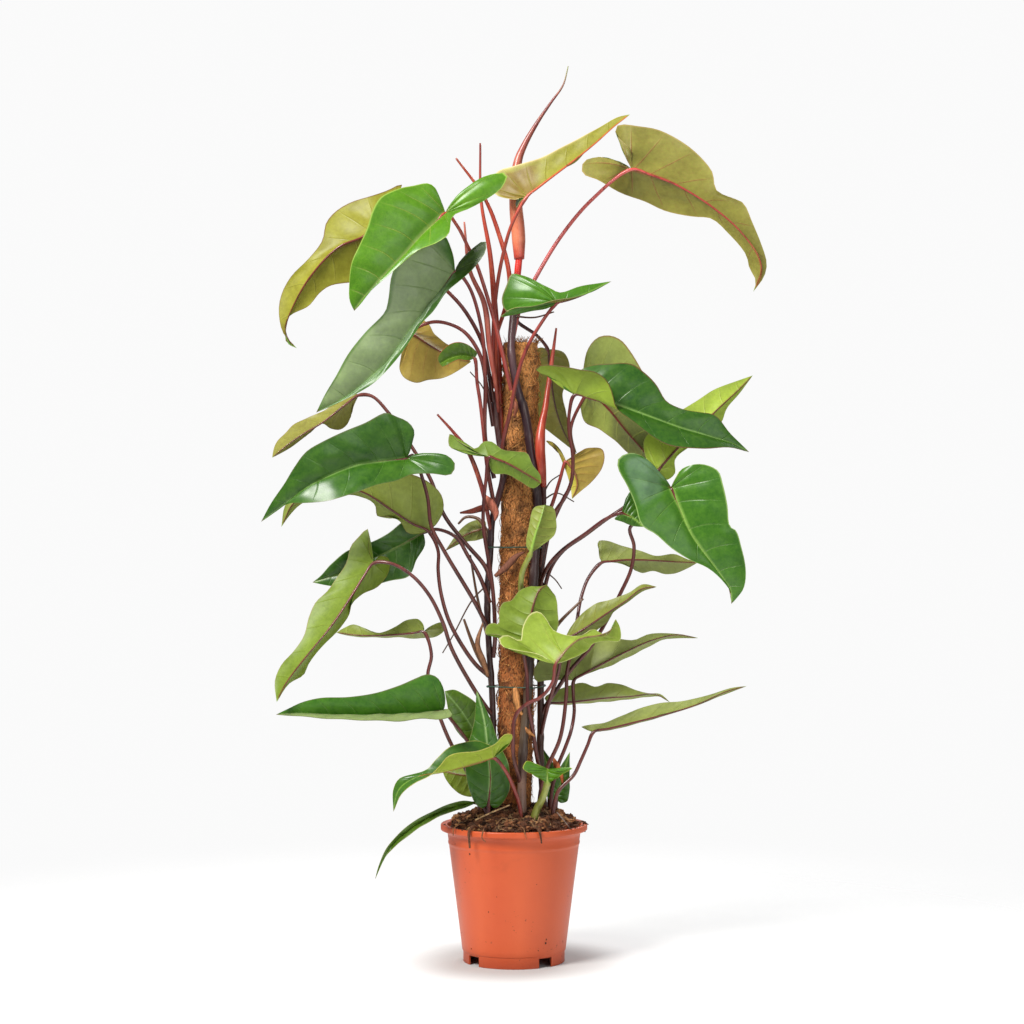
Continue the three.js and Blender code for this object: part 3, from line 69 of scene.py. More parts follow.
class Value:
    """A socket that takes part in ordinary sums, each of which adds its node."""

    def __init__(self, finish, socket):
        self.finish = finish
        self.socket = socket

    def math(self, operation, *others):
        return self.finish.node("ShaderNodeMath", {"operation": operation},
                                dict(enumerate([self, *others]))).out()

    def __add__(self, other):
        return self.math("ADD", other)

    __radd__ = __add__

    def __mul__(self, other):
        return self.math("MULTIPLY", other)

    __rmul__ = __mul__

    def __sub__(self, other):
        return self.math("SUBTRACT", other)

    def __rsub__(self, other):
        return (self * -1) + other

    def step(self, low, high, first=0.0, last=1.0):
        """Rises smoothly from first to last between low and high."""
        return self.finish.node("ShaderNodeMapRange", {"interpolation_type": "SMOOTHSTEP"}, {
            "Value": self, "From Min": low, "From Max": high, "To Min": first, "To Max": last}).out()


class Node:
    """A node that has been made, whose outputs are picked by name."""

    def __init__(self, finish, made):
        self.finish = finish
        self.made = made

    def out(self, name=0):
        return Value(self.finish, self.made.outputs[name])


class Finish:
    """A material built from nodes, with one Principled shader."""

    def __init__(self, name):
        self.material = bpy.data.materials.new(name)
        self.material.use_nodes = True
        self.tree = self.material.node_tree
        self.shader = self.tree.nodes["Principled BSDF"]

    def node(self, kind, settings=None, sockets=None):
        made = self.tree.nodes.new(kind)
        for name, value in (settings or {}).items():
            setattr(made, name, value)
        for name, value in (sockets or {}).items():
            self.feed(made.inputs[name], value)
        return Node(self, made)

    def feed(self, socket, value):
        if isinstance(value, Value):
            self.tree.links.new(value.socket, socket)
        elif value is not None:
            socket.default_value = value

    def wear(self, **values):
        """Sets the shader's sockets: base_color means Base Color."""
        for name, value in values.items():
            self.feed(self.shader.inputs[name.replace("_", " ").title().replace("Ior", "IOR")], value)
        return self.material

    def place(self):
        return self.node("ShaderNodeTexCoord").out("Object")

    def noise(self, scale, detail=4.0, rough=0.55, at=None):
        return self.node("ShaderNodeTexNoise", {}, {
            "Vector": self.place() if at is None else at, "Scale": scale, "Detail": detail,
            "Roughness": rough}).out()

    def mix(self, share, first, second):
        return self.node("ShaderNodeMix", {"data_type": "RGBA", "clamp_factor": True}, {
            "Factor": share, 6: first, 7: second}).out(2)

    def mark(self, name):
        """A value or colour that the mesh carries for each of its points."""
        return self.node("ShaderNodeAttribute", {"attribute_name": name})

    def stretched(self, x, y, z):
        return self.node("ShaderNodeVectorMath", {"operation": "MULTIPLY"},
                         {0: self.place(), 1: (x, y, z)}).out()

    def bump(self, height, depth, strength=1.0):
        return self.node("ShaderNodeBump", {}, {
            "Height": height, "Distance": depth, "Strength": strength}).out()


def put(name, points, faces, materials, marks=None, face_materials=None, smooth=True):
    """Makes a mesh piece from points in millimetres. marks are values or colours for each point."""
    mesh = bpy.data.meshes.new(name)
    mesh.from_pydata((np.asarray(points, float) / 1000).tolist(), [], [list(map(int, f)) for f in faces])
    for material in materials:
        mesh.materials.append(material)
    if face_materials is not None:
        mesh.polygons.foreach_set("material_index", np.asarray(face_materials, np.int32))
    mesh.polygons.foreach_set("use_smooth", np.full(len(mesh.polygons), smooth))
    for key, values in (marks or {}).items():
        values = np.asarray(values, np.float32)
        if values.ndim == 2:
            mark = mesh.attributes.new(key, "FLOAT_COLOR", "POINT")
            mark.data.foreach_set("color", values.ravel())
        else:
            mark = mesh.attributes.new(key, "FLOAT", "POINT")
            mark.data.foreach_set("value", values)
    mesh.update()
    piece = bpy.data.objects.new(name, mesh)
    bpy.context.scene.collection.objects.link(piece)
    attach(piece, "root")
    return piece


def lathe(profile, sides):
    """Points and faces of a closed profile of (radius, height) turned about the Z axis."""
    turns = np.linspace(0, 2 * math.pi, sides, endpoint=False)
    points = [(r * math.cos(t), r * math.sin(t), z) for r, z in profile for t in turns]
    rows = len(profile)
    faces = []
    for row in range(rows):
        low, high = row * sides, ((row + 1) % rows) * sides
        for side in range(sides):
            after = (side + 1) % sides
            faces.append((low + side, low + after, high + after, high + side))
    return points, faces


def cut_away(piece, cutters):
    """Cuts the cutters out of a piece and leaves plain mesh."""
    for cutter in cutters:
        cut = piece.modifiers.new("cut", "BOOLEAN")
        cut.operation, cut.object, cut.solver = "DIFFERENCE", cutter, "EXACT"
    kept = bpy.data.meshes.new_from_object(piece.evaluated_get(bpy.context.evaluated_depsgraph_get()))
    piece.modifiers.clear()
    piece.data = kept
    for cutter in cutters:
        bpy.data.objects.remove(cutter)


def corner(centre, radius, start, end, steps=5):
    """Points of a rounded corner in a profile, between two angles in degrees."""
    return [(centre[0] + radius * math.cos(math.radians(a)), centre[1] + radius * math.sin(math.radians(a)))
            for a in np.linspace(start, end, steps)]


p = POT
body_start = p["ring_height"] + 1
body_rise = p["height"] - p["rim_depth"] - body_start
# The moulded bead below the rim, as rises above its middle and how far each stands out
BEAD_HEIGHT, BEAD_REACH = p["height"] - 23, 2.4
BEAD = [(-2.2, 0.0), (-1.2, 0.05), (0.0, 0.5), (1.2, 0.62), (2.2, 0.6)]
body = [(body_start + body_rise * k / 24, 0) for k in range(1, 24)]
body = [(height, out) for height, out in body if abs(height - BEAD_HEIGHT) > BEAD_REACH]
body = sorted(body + [(BEAD_HEIGHT + rise, out) for rise, out in BEAD])
pot_profile = [
    (p["ring"] - p["wall"], 0.4), (p["ring"] - p["wall"] + 0.4, 0), (p["ring"] - 0.6, 0), (p["ring"], 0.6),
    (p["ring"], p["ring_height"] - 0.6), (p["ring"] + 0.3, p["ring_height"]),
    (p["foot"] - 0.4, p["ring_height"] + 0.3), (p["foot"], body_start),
]
for height, out in body:
    taper = (p["top"] - p["foot"]) * (height - body_start) / body_rise
    pot_profile.append((p["foot"] + taper + out, height))
pot_profile += [
    (p["top"], p["height"] - p["rim_depth"]), (p["rim"] - 1, p["height"] - p["rim_depth"]),
    *corner((p["rim"] - 1.2, p["height"] - p["rim_depth"] + 1.2), 1.2, -90, 0),
    *corner((p["rim"] - 1.6, p["height"] - 1.6), 1.6, 0, 90),
    *corner((p["top"] + 1, p["height"] - 1.5), 1, 90, 180),
    (p["top"] - p["wall"], p["height"] - 4), (p["foot"] - p["wall"], p["floor_top"]),
    (0.01, p["floor_top"]), (0.01, p["floor_bottom"]), (p["ring"] - p["wall"], p["floor_bottom"]),
]
plastic = Finish("terracotta plastic")
bands = plastic.noise(1.0, 2.0, 0.5, plastic.stretched(16, 16, 1.2))
mottle = plastic.noise(38, 3.0)
# Dust in specks, and earthy smears near the rim and the foot
dust = plastic.noise(260, 2.0, 0.7).step(0.66, 0.71) * plastic.noise(26, 2.0).step(0.5, 0.62)
shade = plastic.mix((bands - 0.5) * 1.6 + (mottle - 0.5) * 0.35 + 0.5,
                    paint(192, 76, 34), paint(214, 97, 51))
height_up = plastic.mark("height").out("Fac")
# Painted shade: the pot's colour darkens toward its foot, where it stands on the floor.
shade = plastic.mix(height_up.step(0.0, 0.14, 0.4, 0.0), shade, paint(168, 60, 30))
near_ends = height_up.step(0.5, 0.96) + height_up.step(0.3, 0.02)
smear = plastic.noise(17, 4.0, 0.7).step(0.6, 0.78) * near_ends
shade = plastic.mix(smear * 0.3, shade, paint(128, 62, 34))
shade = plastic.mix(dust * 0.85, shade, paint(92, 50, 32))
plastic.wear(base_color=shade, roughness=mottle * 0.14 + dust * 0.3 + 0.34, ior=1.48,
             normal=plastic.bump(plastic.noise(420, 3.0, 0.6) + mottle * 0.6, 0.00025, 0.5))
points, faces = lathe(pot_profile, 192)
pot = put("pot_shell", points, faces, [plastic.material],
          {"height": np.array(points)[:, 2] / p["height"]})
bpy.context.view_layer.update()
cutters = []
for k in range(p["notches"]):
    turn = math.radians(p["notch_turn"] - 90 + 360 * k / p["notches"])
    bpy.ops.mesh.primitive_cube_add(
        size=1, location=(p["ring"] * math.cos(turn) / 1000, p["ring"] * math.sin(turn) / 1000, 0))
    notch = bpy.context.object
    notch.scale = (0.014, p["notch_width"] / 1000, 2 * p["notch_height"] / 1000)
    notch.rotation_euler = (0, 0, turn)
    cutters.append(notch)
for k in range(p["drains"]):
    turn = math.radians(p["notch_turn"] - 45 + 360 * k / p["drains"])
    spot = (p["drain_circle"] * math.cos(turn) / 1000, p["drain_circle"] * math.sin(turn) / 1000, 0.015)
    bpy.ops.mesh.primitive_cylinder_add(vertices=32, radius=p["drain_radius"] / 1000, depth=0.012,
                                        location=spot)
    cutters.append(bpy.context.object)
cut_away(pot, cutters)
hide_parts("pot")

# SOIL
# Peaty brown potting soil fills the pot and heaps up round the stems, with bark chips, pale chaff and
# stray roots in it. Some roots and straws hang out over the rim.
SOIL_EDGE, SOIL_HEAP, SOIL_LUMP, SOIL_CRUMB = 151, 17, 2.4, 6


def soil_height(share, turn):
    lumps = (math.sin(3 * turn + 5 * share) + 0.6 * math.sin(7 * turn - 9 * share)
             + 0.5 * math.sin(11 * turn))
    heap = SOIL_EDGE + SOIL_HEAP * (1 - share ** 2) + SOIL_LUMP * lumps * share * (1.4 - share)
    return heap + SOIL_CRUMB * (1 - 0.4 * share)


def pot_inside(height):
    share = (height - POT["floor_top"]) / (POT["height"] - 3 - POT["floor_top"])
    return POT["foot"] + (POT["top"] - POT["foot"]) * share - POT["wall"]


def curve_through(points, density=14):
    """A smooth curve through points: its samples and the share of its length at each."""
    p = np.array(points, float)
    if len(p) == 2:
        places = np.linspace(p[0], p[1], density + 1)
    else:
        p = np.vstack([2 * p[0] - p[1], p, 2 * p[-1] - p[-2]])
        places = [p[1]]
        for k in range(1, len(p) - 2):
            p0, p1, p2, p3 = p[k - 1:k + 3]
            t0, t1, t2 = [max(np.linalg.norm(b - a), 1e-6) ** 0.5
                          for a, b in ((p0, p1), (p1, p2), (p2, p3))]
            m1 = ((p1 - p0) / t0 - (p2 - p0) / (t0 + t1) + (p2 - p1) / t1) * t1
            m2 = ((p2 - p1) / t1 - (p3 - p1) / (t1 + t2) + (p3 - p2) / t2) * t1
            for s in np.linspace(0, 1, density + 1)[1:]:
                places.append(p1 + m1 * s + (3 * (p2 - p1) - 2 * m1 - m2) * s ** 2
                              + (2 * (p1 - p2) + m1 + m2) * s ** 3)
        places = np.array(places)
    lengths = np.concatenate([[0], np.cumsum(np.linalg.norm(np.diff(places, axis=0), axis=1))])
    return places, lengths


def along(curve, shares):
    """Points at shares of a curve's length."""
    places, lengths = curve
    where = np.clip(shares, 0, 1) * lengths[-1]
    return np.stack([np.interp(where, lengths, places[:, k]) for k in range(3)], axis=-1)


def unit(v):
    return v / np.maximum(np.linalg.norm(v, axis=-1, keepdims=True), 1e-9)


def tube(path, radii, sides=12, step=4.0, shape=None):
    """A closed round tube. radii are even steps along it; shape(turns, share) scales the section."""
    curve = curve_through(path)
    count = max(3, int(curve[1][-1] / step))
    shares = np.linspace(0, 1, count + 1)
    centres = along(curve, shares)
    tangents = unit(np.gradient(centres, axis=0))
    normal = unit(np.cross(tangents[0], (0.3, 0.9, 0.2)))
    turns = np.linspace(0, 2 * math.pi, sides, endpoint=False)
    widths = np.interp(shares, np.linspace(0, 1, len(radii)), radii)
    points, marks = [], {"along": [], "turn": []}
    for k, share in enumerate(shares):
        normal = unit(normal - tangents[k] * normal.dot(tangents[k]))
        side = np.cross(tangents[k], normal)
        section = np.ones(sides) if shape is None else shape(turns, share)
        ring = centres[k] + widths[k] * section[:, None] * (
            np.cos(turns)[:, None] * normal + np.sin(turns)[:, None] * side)
        points.extend(ring)
        marks["along"].extend([share] * sides)
        marks["turn"].extend(turns)
    faces = []
    for row in range(count):
        low, high = row * sides, (row + 1) * sides
        for s in range(sides):
            after = (s + 1) % sides
            faces.append((low + s, low + after, high + after, high + s))
    points += [centres[0], centres[-1]]
    marks["along"] += [0, 1]
    marks["turn"] += [0, 0]
    first, last = len(points) - 2, len(points) - 1
    for s in range(sides):
        after = (s + 1) % sides
        faces.append((first, after, s))
        faces.append((last, count * sides + s, count * sides + after))
    return np.array(points), faces, {key: np.array(v, float) for key, v in marks.items()}


def gathered(parts):
    """Joins (points, faces, marks) lists into one."""
    points, faces, marks, start = [], [], {}, 0
    for these, their_faces, their_marks in parts:
        points.append(np.asarray(these, float))
        faces += [tuple(i + start for i in f) for f in their_faces]
        for key, values in their_marks.items():
            marks.setdefault(key, []).append(np.asarray(values, float))
        start += len(these)
    return np.vstack(points), faces, {key: np.concatenate(v) for key, v in marks.items()}


def grain(points, size, seed):
    """Soft repeatable noise from -1 to 1 at points, in lumps of about the size given."""
    random = np.random.default_rng(seed)
    q = np.asarray(points, float) / size
    total = np.zeros(len(q))
    for _ in range(9):
        direction = unit(random.normal(size=3))
        total += np.sin(q @ direction * random.uniform(3.2, 7.5) + random.uniform(0, 6.28)
                        + 1.3 * np.sin(q @ unit(random.normal(size=3)) * 2.1 + random.uniform(0, 6.28)))
    return total / 4.5


def coloured(count, colour):
    return np.tile(np.array(colour), (count, 1))


earth = Finish("potting soil")
crumb = earth.noise(900, 5.0, 0.7)
clod = earth.noise(160, 4.0, 0.6)
ground = earth.mark("tint").out("Color")
ground = earth.mix(crumb.step(0.44, 0.6) * 0.55, ground, paint(140, 88, 54))
ground = earth.mix(clod.step(0.55, 0.35) * 0.7, ground, paint(30, 18, 12))
ground = earth.mix(earth.noise(1500, 2.0).step(0.66, 0.7) * 0.8, ground, paint(176, 134, 92))
earth.wear(base_color=ground, roughness=0.95, normal=earth.bump(crumb + clod * 1.5, 0.0012))

sides, rings = 144, 40
bottom = POT["floor_top"] + 0.3
edge_radius = pot_inside(SOIL_EDGE - 6) - 0.5
bottom_radius = pot_inside(bottom) - 0.5
points = [(0, 0, bottom)]
for side in range(sides):
    turn = 2 * math.pi * side / sides
    points.append((bottom_radius * math.cos(turn), bottom_radius * math.sin(turn), bottom))
surface_start = len(points)
for k in range(rings, 0, -1):
    for side in range(sides):
        turn = 2 * math.pi * side / sides
        radius = edge_radius * k / rings
        points.append((radius * math.cos(turn), radius * math.sin(turn), soil_height(k / rings, turn)))
points.append((0, 0, soil_height(0, 0)))
points = np.array(points)
surface = points[surface_start:]
inward = np.clip((edge_radius - np.hypot(surface[:, 0], surface[:, 1])) / 6, 0, 1)
bumps = 1.9 * grain(surface, 16, 3) + 1.5 * grain(surface, 6, 4) + grain(surface, 3, 5)
surface[:, 2] += inward * bumps
faces = []
for side in range(sides):
    after = (side + 1) % sides
    faces.append((0, 1 + after, 1 + side))
    for row in range(rings):
        low, high = 1 + row * sides, 1 + (row + 1) * sides
        faces.append((low + side, low + after, high + after, high + side))
    top = 1 + rings * sides
    faces.append((len(points) - 1, top + side, top + after))
soil = put("soil_heap", points, faces, [earth.material],
           {"tint": coloured(len(points), paint(84, 48, 30))})
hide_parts("soil")

# Roots that bend over the rim: path and radii
RIM_ROOTS = [
    ([(-36, -52, 156), (-43, -62, 163), (-48.5, -69.5, 162.4), (-51, -72.2, 158), (-50.6, -71.8, 148),
      (-50, -71.4, 140)], [2.1, 1.9, 1.6, 1.1]),
    ([(20, -60, 156), (24, -72, 163), (27.5, -81, 162.2), (29.5, -84, 157), (31, -83.4, 147)],
     [1.9, 1.7, 1.4, 0.9]),
]
chance = np.random.default_rng(11)
CHIP_COLOURS = [(70, 38, 24), (92, 52, 32), (118, 70, 42), (150, 96, 60), (196, 142, 92), (48, 28, 22)]
box_corners = np.array([(x, y, z) for x in (-1, 1) for y in (-1, 1) for z in (-1, 1)], float)
box_faces = [(0, 1, 3, 2), (4, 6, 7, 5), (0, 4, 5, 1), (2, 3, 7, 6), (0, 2, 6, 4), (1, 5, 7, 3)]
CHIPS, CLODS, LOOSE_ROOTS, RIM_CRUMBS = 1500, 300, 230, 90
CLOD_TURNS, CLOD_RINGS = 14, 7
chips = []
# Chips of bark, lying any way round
for _ in range(CHIPS):
    share = math.sqrt(chance.uniform(0.0, 0.97))
    turn = chance.uniform(0, 2 * math.pi)
    radius = edge_radius * share
    size = chance.choice([0.9, 1.5, 2.4, 3.6], p=[0.34, 0.32, 0.24, 0.1])
    stretch = np.array([size * chance.uniform(0.8, 2.2), size * chance.uniform(0.6, 1.2), size * 0.5])
    shape = box_corners * stretch * chance.uniform(0.6, 1.15, (8, 3))
    spin, lean = chance.uniform(0, 6.28), chance.uniform(-0.6, 0.6)
    flat = np.array([[math.cos(spin), -math.sin(spin), 0], [math.sin(spin), math.cos(spin), 0], [0, 0, 1]])
    tip = np.array([[1, 0, 0], [0, math.cos(lean), -math.sin(lean)], [0, math.sin(lean), math.cos(lean)]])
    centre = np.array([radius * math.cos(turn), radius * math.sin(turn),
                       soil_height(share, turn) + chance.uniform(0.3, 4.5) + 0.5 * size])
    chips.append((shape @ tip.T @ flat.T + centre, box_faces,
                  {"tint": coloured(8, paint(*CHIP_COLOURS[chance.integers(len(CHIP_COLOURS))]))}))
# Clods of peat, as rough balls
for _ in range(CLODS):
    share, turn = math.sqrt(chance.uniform(0.03, 0.93)), chance.uniform(0, 2 * math.pi)
    size = chance.uniform(2.2, 5.6) * (1.1 - 0.25 * share)
    around = np.linspace(0, 2 * math.pi, CLOD_TURNS, endpoint=False)
    down = np.linspace(0.12, math.pi - 0.12, CLOD_RINGS)
    ball = np.array([(math.sin(v) * math.cos(u), math.sin(v) * math.sin(u), 0.75 * math.cos(v))
                     for v in down for u in around]) * size
    centre = np.array([edge_radius * share * math.cos(turn), edge_radius * share * math.sin(turn),
                       soil_height(share, turn) + chance.uniform(0.4, 1.8) * size])
    ball *= (1 + 0.3 * grain(ball + centre, 3.2, 41) + 0.2 * grain(ball + centre, 1.3, 42))[:, None]
    quads = [(r * CLOD_TURNS + s, (r + 1) * CLOD_TURNS + s, (r + 1) * CLOD_TURNS + (s + 1) % CLOD_TURNS,
              r * CLOD_TURNS + (s + 1) % CLOD_TURNS)
             for r in range(CLOD_RINGS - 1) for s in range(CLOD_TURNS)]
    last_ring = range((CLOD_RINGS - 1) * CLOD_TURNS, CLOD_RINGS * CLOD_TURNS)
    quads += [tuple(range(CLOD_TURNS)), tuple(reversed(last_ring))]
    colour = CHIP_COLOURS[chance.integers(len(CHIP_COLOURS) - 1)]
    chips.append((ball + centre, quads, {"tint": coloured(len(ball), paint(*colour))}))
# Loose fibres that curl over the soil and stay inside the pot
for _ in range(LOOSE_ROOTS):
    share, turn = math.sqrt(chance.uniform(0.02, 0.92)), chance.uniform(0, 6.28)
    start = np.array([edge_radius * share * math.cos(turn), edge_radius * share * math.sin(turn)])
    heading, curl = chance.uniform(0, 6.28), chance.uniform(-0.9, 0.9)
    path = []
    for k in range(5):
        spot = start + k * chance.uniform(2, 4.5) * np.array([math.cos(heading + curl * k),
                                                              math.sin(heading + curl * k)])
        reach = np.hypot(*spot)
        if reach > edge_radius - 2:
            spot *= (edge_radius - 2) / reach
        path.append((*spot, soil_height(min(1, np.hypot(*spot) / edge_radius), math.atan2(spot[1], spot[0]))
                     + 4 + 5 * math.sin(k * 0.8) * chance.uniform(0, 1)))
    strand = tube(path, [0.6, 0.5, 0.3], 5, 2.5)
    pale = paint(*((186, 150, 108) if chance.uniform() < 0.4 else (96, 62, 40)))
    chips.append((strand[0], strand[1], {"tint": coloured(len(strand[0]), pale)}))
# Flecks of soil that stick to the pot: turn round it, height and size
FLECKS = [(-0.95, 29, 1.5), (-0.94, 33, 1.1), (-2.31, 131, 1.3), (-2.02, 66, 0.8), (-1.2, 98, 0.6),
          (-1.86, 84, 0.6), (-1.1, 21, 0.9), (-2.5, 20, 0.8), (0.7, 40, 0.9), (2.1, 72, 0.8)]
for turn, height, size in FLECKS:
    radius = POT["foot"] + (POT["top"] - POT["foot"]) * (height - body_start) / body_rise
    spot = np.array([radius * math.cos(turn), radius * math.sin(turn), height])
    fleck = box_corners * chance.uniform(0.35, 0.7, (8, 3)) * (size, size, 1.5 * size) + spot
    chips.append((fleck, box_faces, {"tint": coloured(8, paint(64, 36, 26))}))
# Crumbs on the front of the rim
for _ in range(RIM_CRUMBS):
    turn, size = chance.uniform(-3.0, 0.1), chance.choice([0.35, 0.6, 1.0])
    radius = chance.uniform(POT["rim"] - 5, POT["rim"] - 0.8)
    spot = np.array([radius * math.cos(turn), radius * math.sin(turn), POT["height"] + 0.3 * size])
    chips.append((box_corners * chance.uniform(0.5, 1.1, (8, 3)) * size + spot, box_faces,
                  {"tint": coloured(8, paint(70, 42, 30))}))
# Chaff and dead roots that lie on the soil or hang over the rim: path, radii and colour
STRAWS = [([(-44, -58, 170), (-28, -62, 178), (-5, -58, 187)], [0.9, 0.9, 0.8], (196, 164, 118)),
          ([(-30, -64, 162), (-33, -76, 164), (-35, -84, 160), (-36, -85.6, 153), (-32, -84.8, 149)],
           [0.9, 0.9, 0.8, 0.5], (128, 84, 54)),
          ([(8, -70, 163), (11, -80, 163), (12, -86.2, 159), (14, -86.4, 152)],
           [0.7, 0.7, 0.4], (160, 112, 74)),
          ([(-56, -46, 163), (-64, -53, 164), (-69, -56, 159), (-69, -56, 152)],
           [0.8, 0.8, 0.5], (146, 100, 64)),
          ([(40, -56, 164), (34, -62, 171), (26, -64, 168), (22, -68, 163)],
           [0.8, 0.9, 0.6], (176, 128, 84)),
          ([(-20, -60, 166), (-12, -64, 173), (-4, -62, 169), (0, -66, 165)],
           [0.9, 0.8, 0.5], (184, 138, 92)),
          ([(-54, -52, 157), (-46, -58, 160), (-39, -60, 158)], [2.6, 3.2, 2.4], (178, 136, 88)),
          ([(49, -34, 176), (58, -38, 166), (67, -42, 154)], [0.8, 0.7, 0.6], (150, 140, 132)),
          ([(60, -30, 158), (72, -28, 160), (82, -22, 152)], [1.4, 1.2, 0.8], (84, 58, 40)),
          ([(70, -20, 156), (78, -14, 163), (86, -4, 158)], [1.1, 1.0, 0.6], (96, 64, 42))]
for path, radii, colour in STRAWS:
    straw = tube(path, radii, 6, 3)
    chips.append((straw[0], straw[1], {"tint": coloured(len(straw[0]), paint(*colour))}))
for path, radii in RIM_ROOTS:
    root = tube(path, radii, 8, 2)
    chips.append((root[0], root[1], {"tint": coloured(len(root[0]), paint(88, 54, 34))}))
points, faces, marks = gathered(chips)
put("soil_bark_and_roots", points, faces, [earth.material], marks, smooth=False)

# COIR POLE
# A stake wound in coconut fibre: a rough orange-brown sleeve with loose strands all over it, frayed
# at the top. The sawn wooden stake inside only shows if the sleeve is taken off.
POLE_FOOT, POLE_TOP, POLE_RADIUS, POLE_LUMP = np.array([-2.0, 0, 18]), np.array([8.0, 0, 716]), 20, 0.9
fibre = Finish("coconut fibre")
strand_noise = fibre.noise(1.0, 5.0, 0.75, fibre.stretched(560, 560, 230))
matting = fibre.noise(420, 5.0, 0.75)
husk = fibre.mark("tint").out("Color")
# Painted shade in the gaps between the strands, where the bump sinks.
husk = fibre.mix(strand_noise.step(0.38, 0.54), fibre.mix(0.74, husk, paint(40, 20, 9)), husk)
husk = fibre.mix(matting.step(0.54, 0.68) * 0.65, husk, paint(234, 172, 104))
husk = fibre.mix(fibre.noise(60, 3.0).step(0.52, 0.64) * 0.6, husk, paint(60, 30, 14))
fibre.wear(base_color=husk, roughness=0.92, normal=fibre.bump(strand_noise + matting * 0.8, 0.0016))

axis = POLE_TOP - POLE_FOOT
pole_length = np.linalg.norm(axis)
axis = axis / pole_length
across_x = unit(np.cross((0.0, 1.0, 0.0), axis))
across_y = np.cross(axis, across_x)


def husk_colour(height, turn, lift=0.0):
    """Orange-brown, lighter toward the top and on its right side; darker below."""
    lighter_share = np.clip((height - 330) / 380, 0, 1) * 0.75 + 0.25 * (0.5 + 0.5 * math.cos(turn))
    dark, bright = np.array(paint(174, 98, 46)), np.array(paint(250, 178, 102))
    return dark + (bright - dark) * min(1.0, max(0.0, lighter_share + lift))


def sleeve_radius(height, turn):
    return POLE_RADIUS + POLE_LUMP * (np.sin(4 * turn + 0.07 * height) * np.cos(0.11 * height))


sides, rings = 84, 300
grid = []
tints = []
for k in range(rings + 1):
    height = pole_length * k / rings
    for side in range(sides):
        turn = 2 * math.pi * side / sides
        radius = sleeve_radius(height, turn)
        way = math.cos(turn) * across_x + math.sin(turn) * across_y
        grid.append(POLE_FOOT + axis * height + radius * way)
        tints.append(husk_colour(height, turn))
grid = np.array(grid)
outward = unit(grid - (POLE_FOOT + np.outer((grid - POLE_FOOT) @ axis, axis)))
ridges = 0.5 * grain(grid * (1, 1, 0.5), 1.7, 21) + 0.4 * grain(grid, 4, 22) + 0.4 * grain(grid, 14, 23)
grid += outward * (ridges - 0.3)[:, None]
points = np.vstack([grid, POLE_FOOT, POLE_TOP + axis * 0.4])
faces = [(k * sides + s, k * sides + (s + 1) % sides,
          (k + 1) * sides + (s + 1) % sides, (k + 1) * sides + s)
         for k in range(rings) for s in range(sides)]
faces += [(len(points) - 2, (s + 1) % sides, s) for s in range(sides)]
faces += [(len(points) - 1, rings * sides + s, rings * sides + (s + 1) % sides) for s in range(sides)]
tints += [husk_colour(0, 0), husk_colour(700, 0)]
sleeve = put("coir_sleeve", points, faces, [fibre.material], {"tint": np.array(tints)})
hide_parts("coir_pole")

STRANDS, TOP_FIBRES, UPRIGHT_FIBRES = 1900, 90, 50
chance = np.random.default_rng(31)
strands = []
for k in range(STRANDS):
    height = 130 + (pole_length - 131) * chance.uniform() ** 0.85
    turn = chance.uniform(0, 2 * math.pi)
    rise, sweep = chance.uniform(-22, 22), chance.uniform(-0.9, 0.9)
    proud = chance.uniform(0.3, 2.2) if chance.uniform() < 0.85 else chance.uniform(2, 5)
    frayed = height > pole_length - 60 and chance.uniform() < 0.4
    path = []
    for step in range(5):
        h = np.clip(height + rise * step / 4, 120, pole_length - 0.5)
        t = turn + sweep * step / 4
        stand = proud * math.sin(math.pi * step / 4) + (chance.uniform(0, 6) * step / 4 if frayed else 0.2)
        r = sleeve_radius(h, t) + stand
        path.append(POLE_FOOT + axis * h + r * (math.cos(t) * across_x + math.sin(t) * across_y))
    thick = chance.choice([0.25, 0.4, 0.65], p=[0.4, 0.4, 0.2])
    strand = tube(path, [thick, thick * 0.9, thick * 0.5], 4, 6)
    colour = husk_colour(height, turn, chance.uniform(-0.6, 1.0))
    strands.append((strand[0], strand[1], {"tint": coloured(len(strand[0]), colour)}))
# Fibres that stand up at the sawn-off top and fray at its right
for k in range(TOP_FIBRES):
    inside = k < UPRIGHT_FIBRES
    turn = chance.uniform(0, 2 * math.pi) if inside else chance.uniform(-1.9, 0.4)
    radius = chance.uniform(2, 19) if inside else POLE_RADIUS
    start = POLE_TOP + radius * (math.cos(turn) * across_x + math.sin(turn) * across_y)
    lean = np.array([chance.uniform(-6, 8), chance.uniform(-5, 5), 0])
    path = [start, start + lean * 0.4 + axis * chance.uniform(1, 5),
            start + lean + axis * chance.uniform(2, 9)]
    strand = tube(path, [0.3, 0.26, 0.12], 4, 3)
    strands.append((strand[0], strand[1], {"tint": coloured(len(strand[0]), paint(190, 132, 74))}))
points, faces, marks = gathered(strands)
put("coir_strands", points, faces, [fibre.material], marks)

timber = Finish("sawn wood")
rings_in_wood = timber.node("ShaderNodeTexWave", {"wave_type": "RINGS", "rings_direction": "Z"}, {
    "Vector": timber.place(), "Scale": 90.0, "Distortion": 3.0, "Detail": 3.0}).out("Fac")
timber.wear(base_color=timber.mix(rings_in_wood, paint(186, 146, 96), paint(150, 108, 66)), roughness=0.8,
            normal=timber.bump(timber.noise(1.0, 4.0, 0.6, timber.stretched(700, 700, 40)), 0.0004))
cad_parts["pole_stake"].data.materials.clear()
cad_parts["pole_stake"].data.materials.append(timber.material)

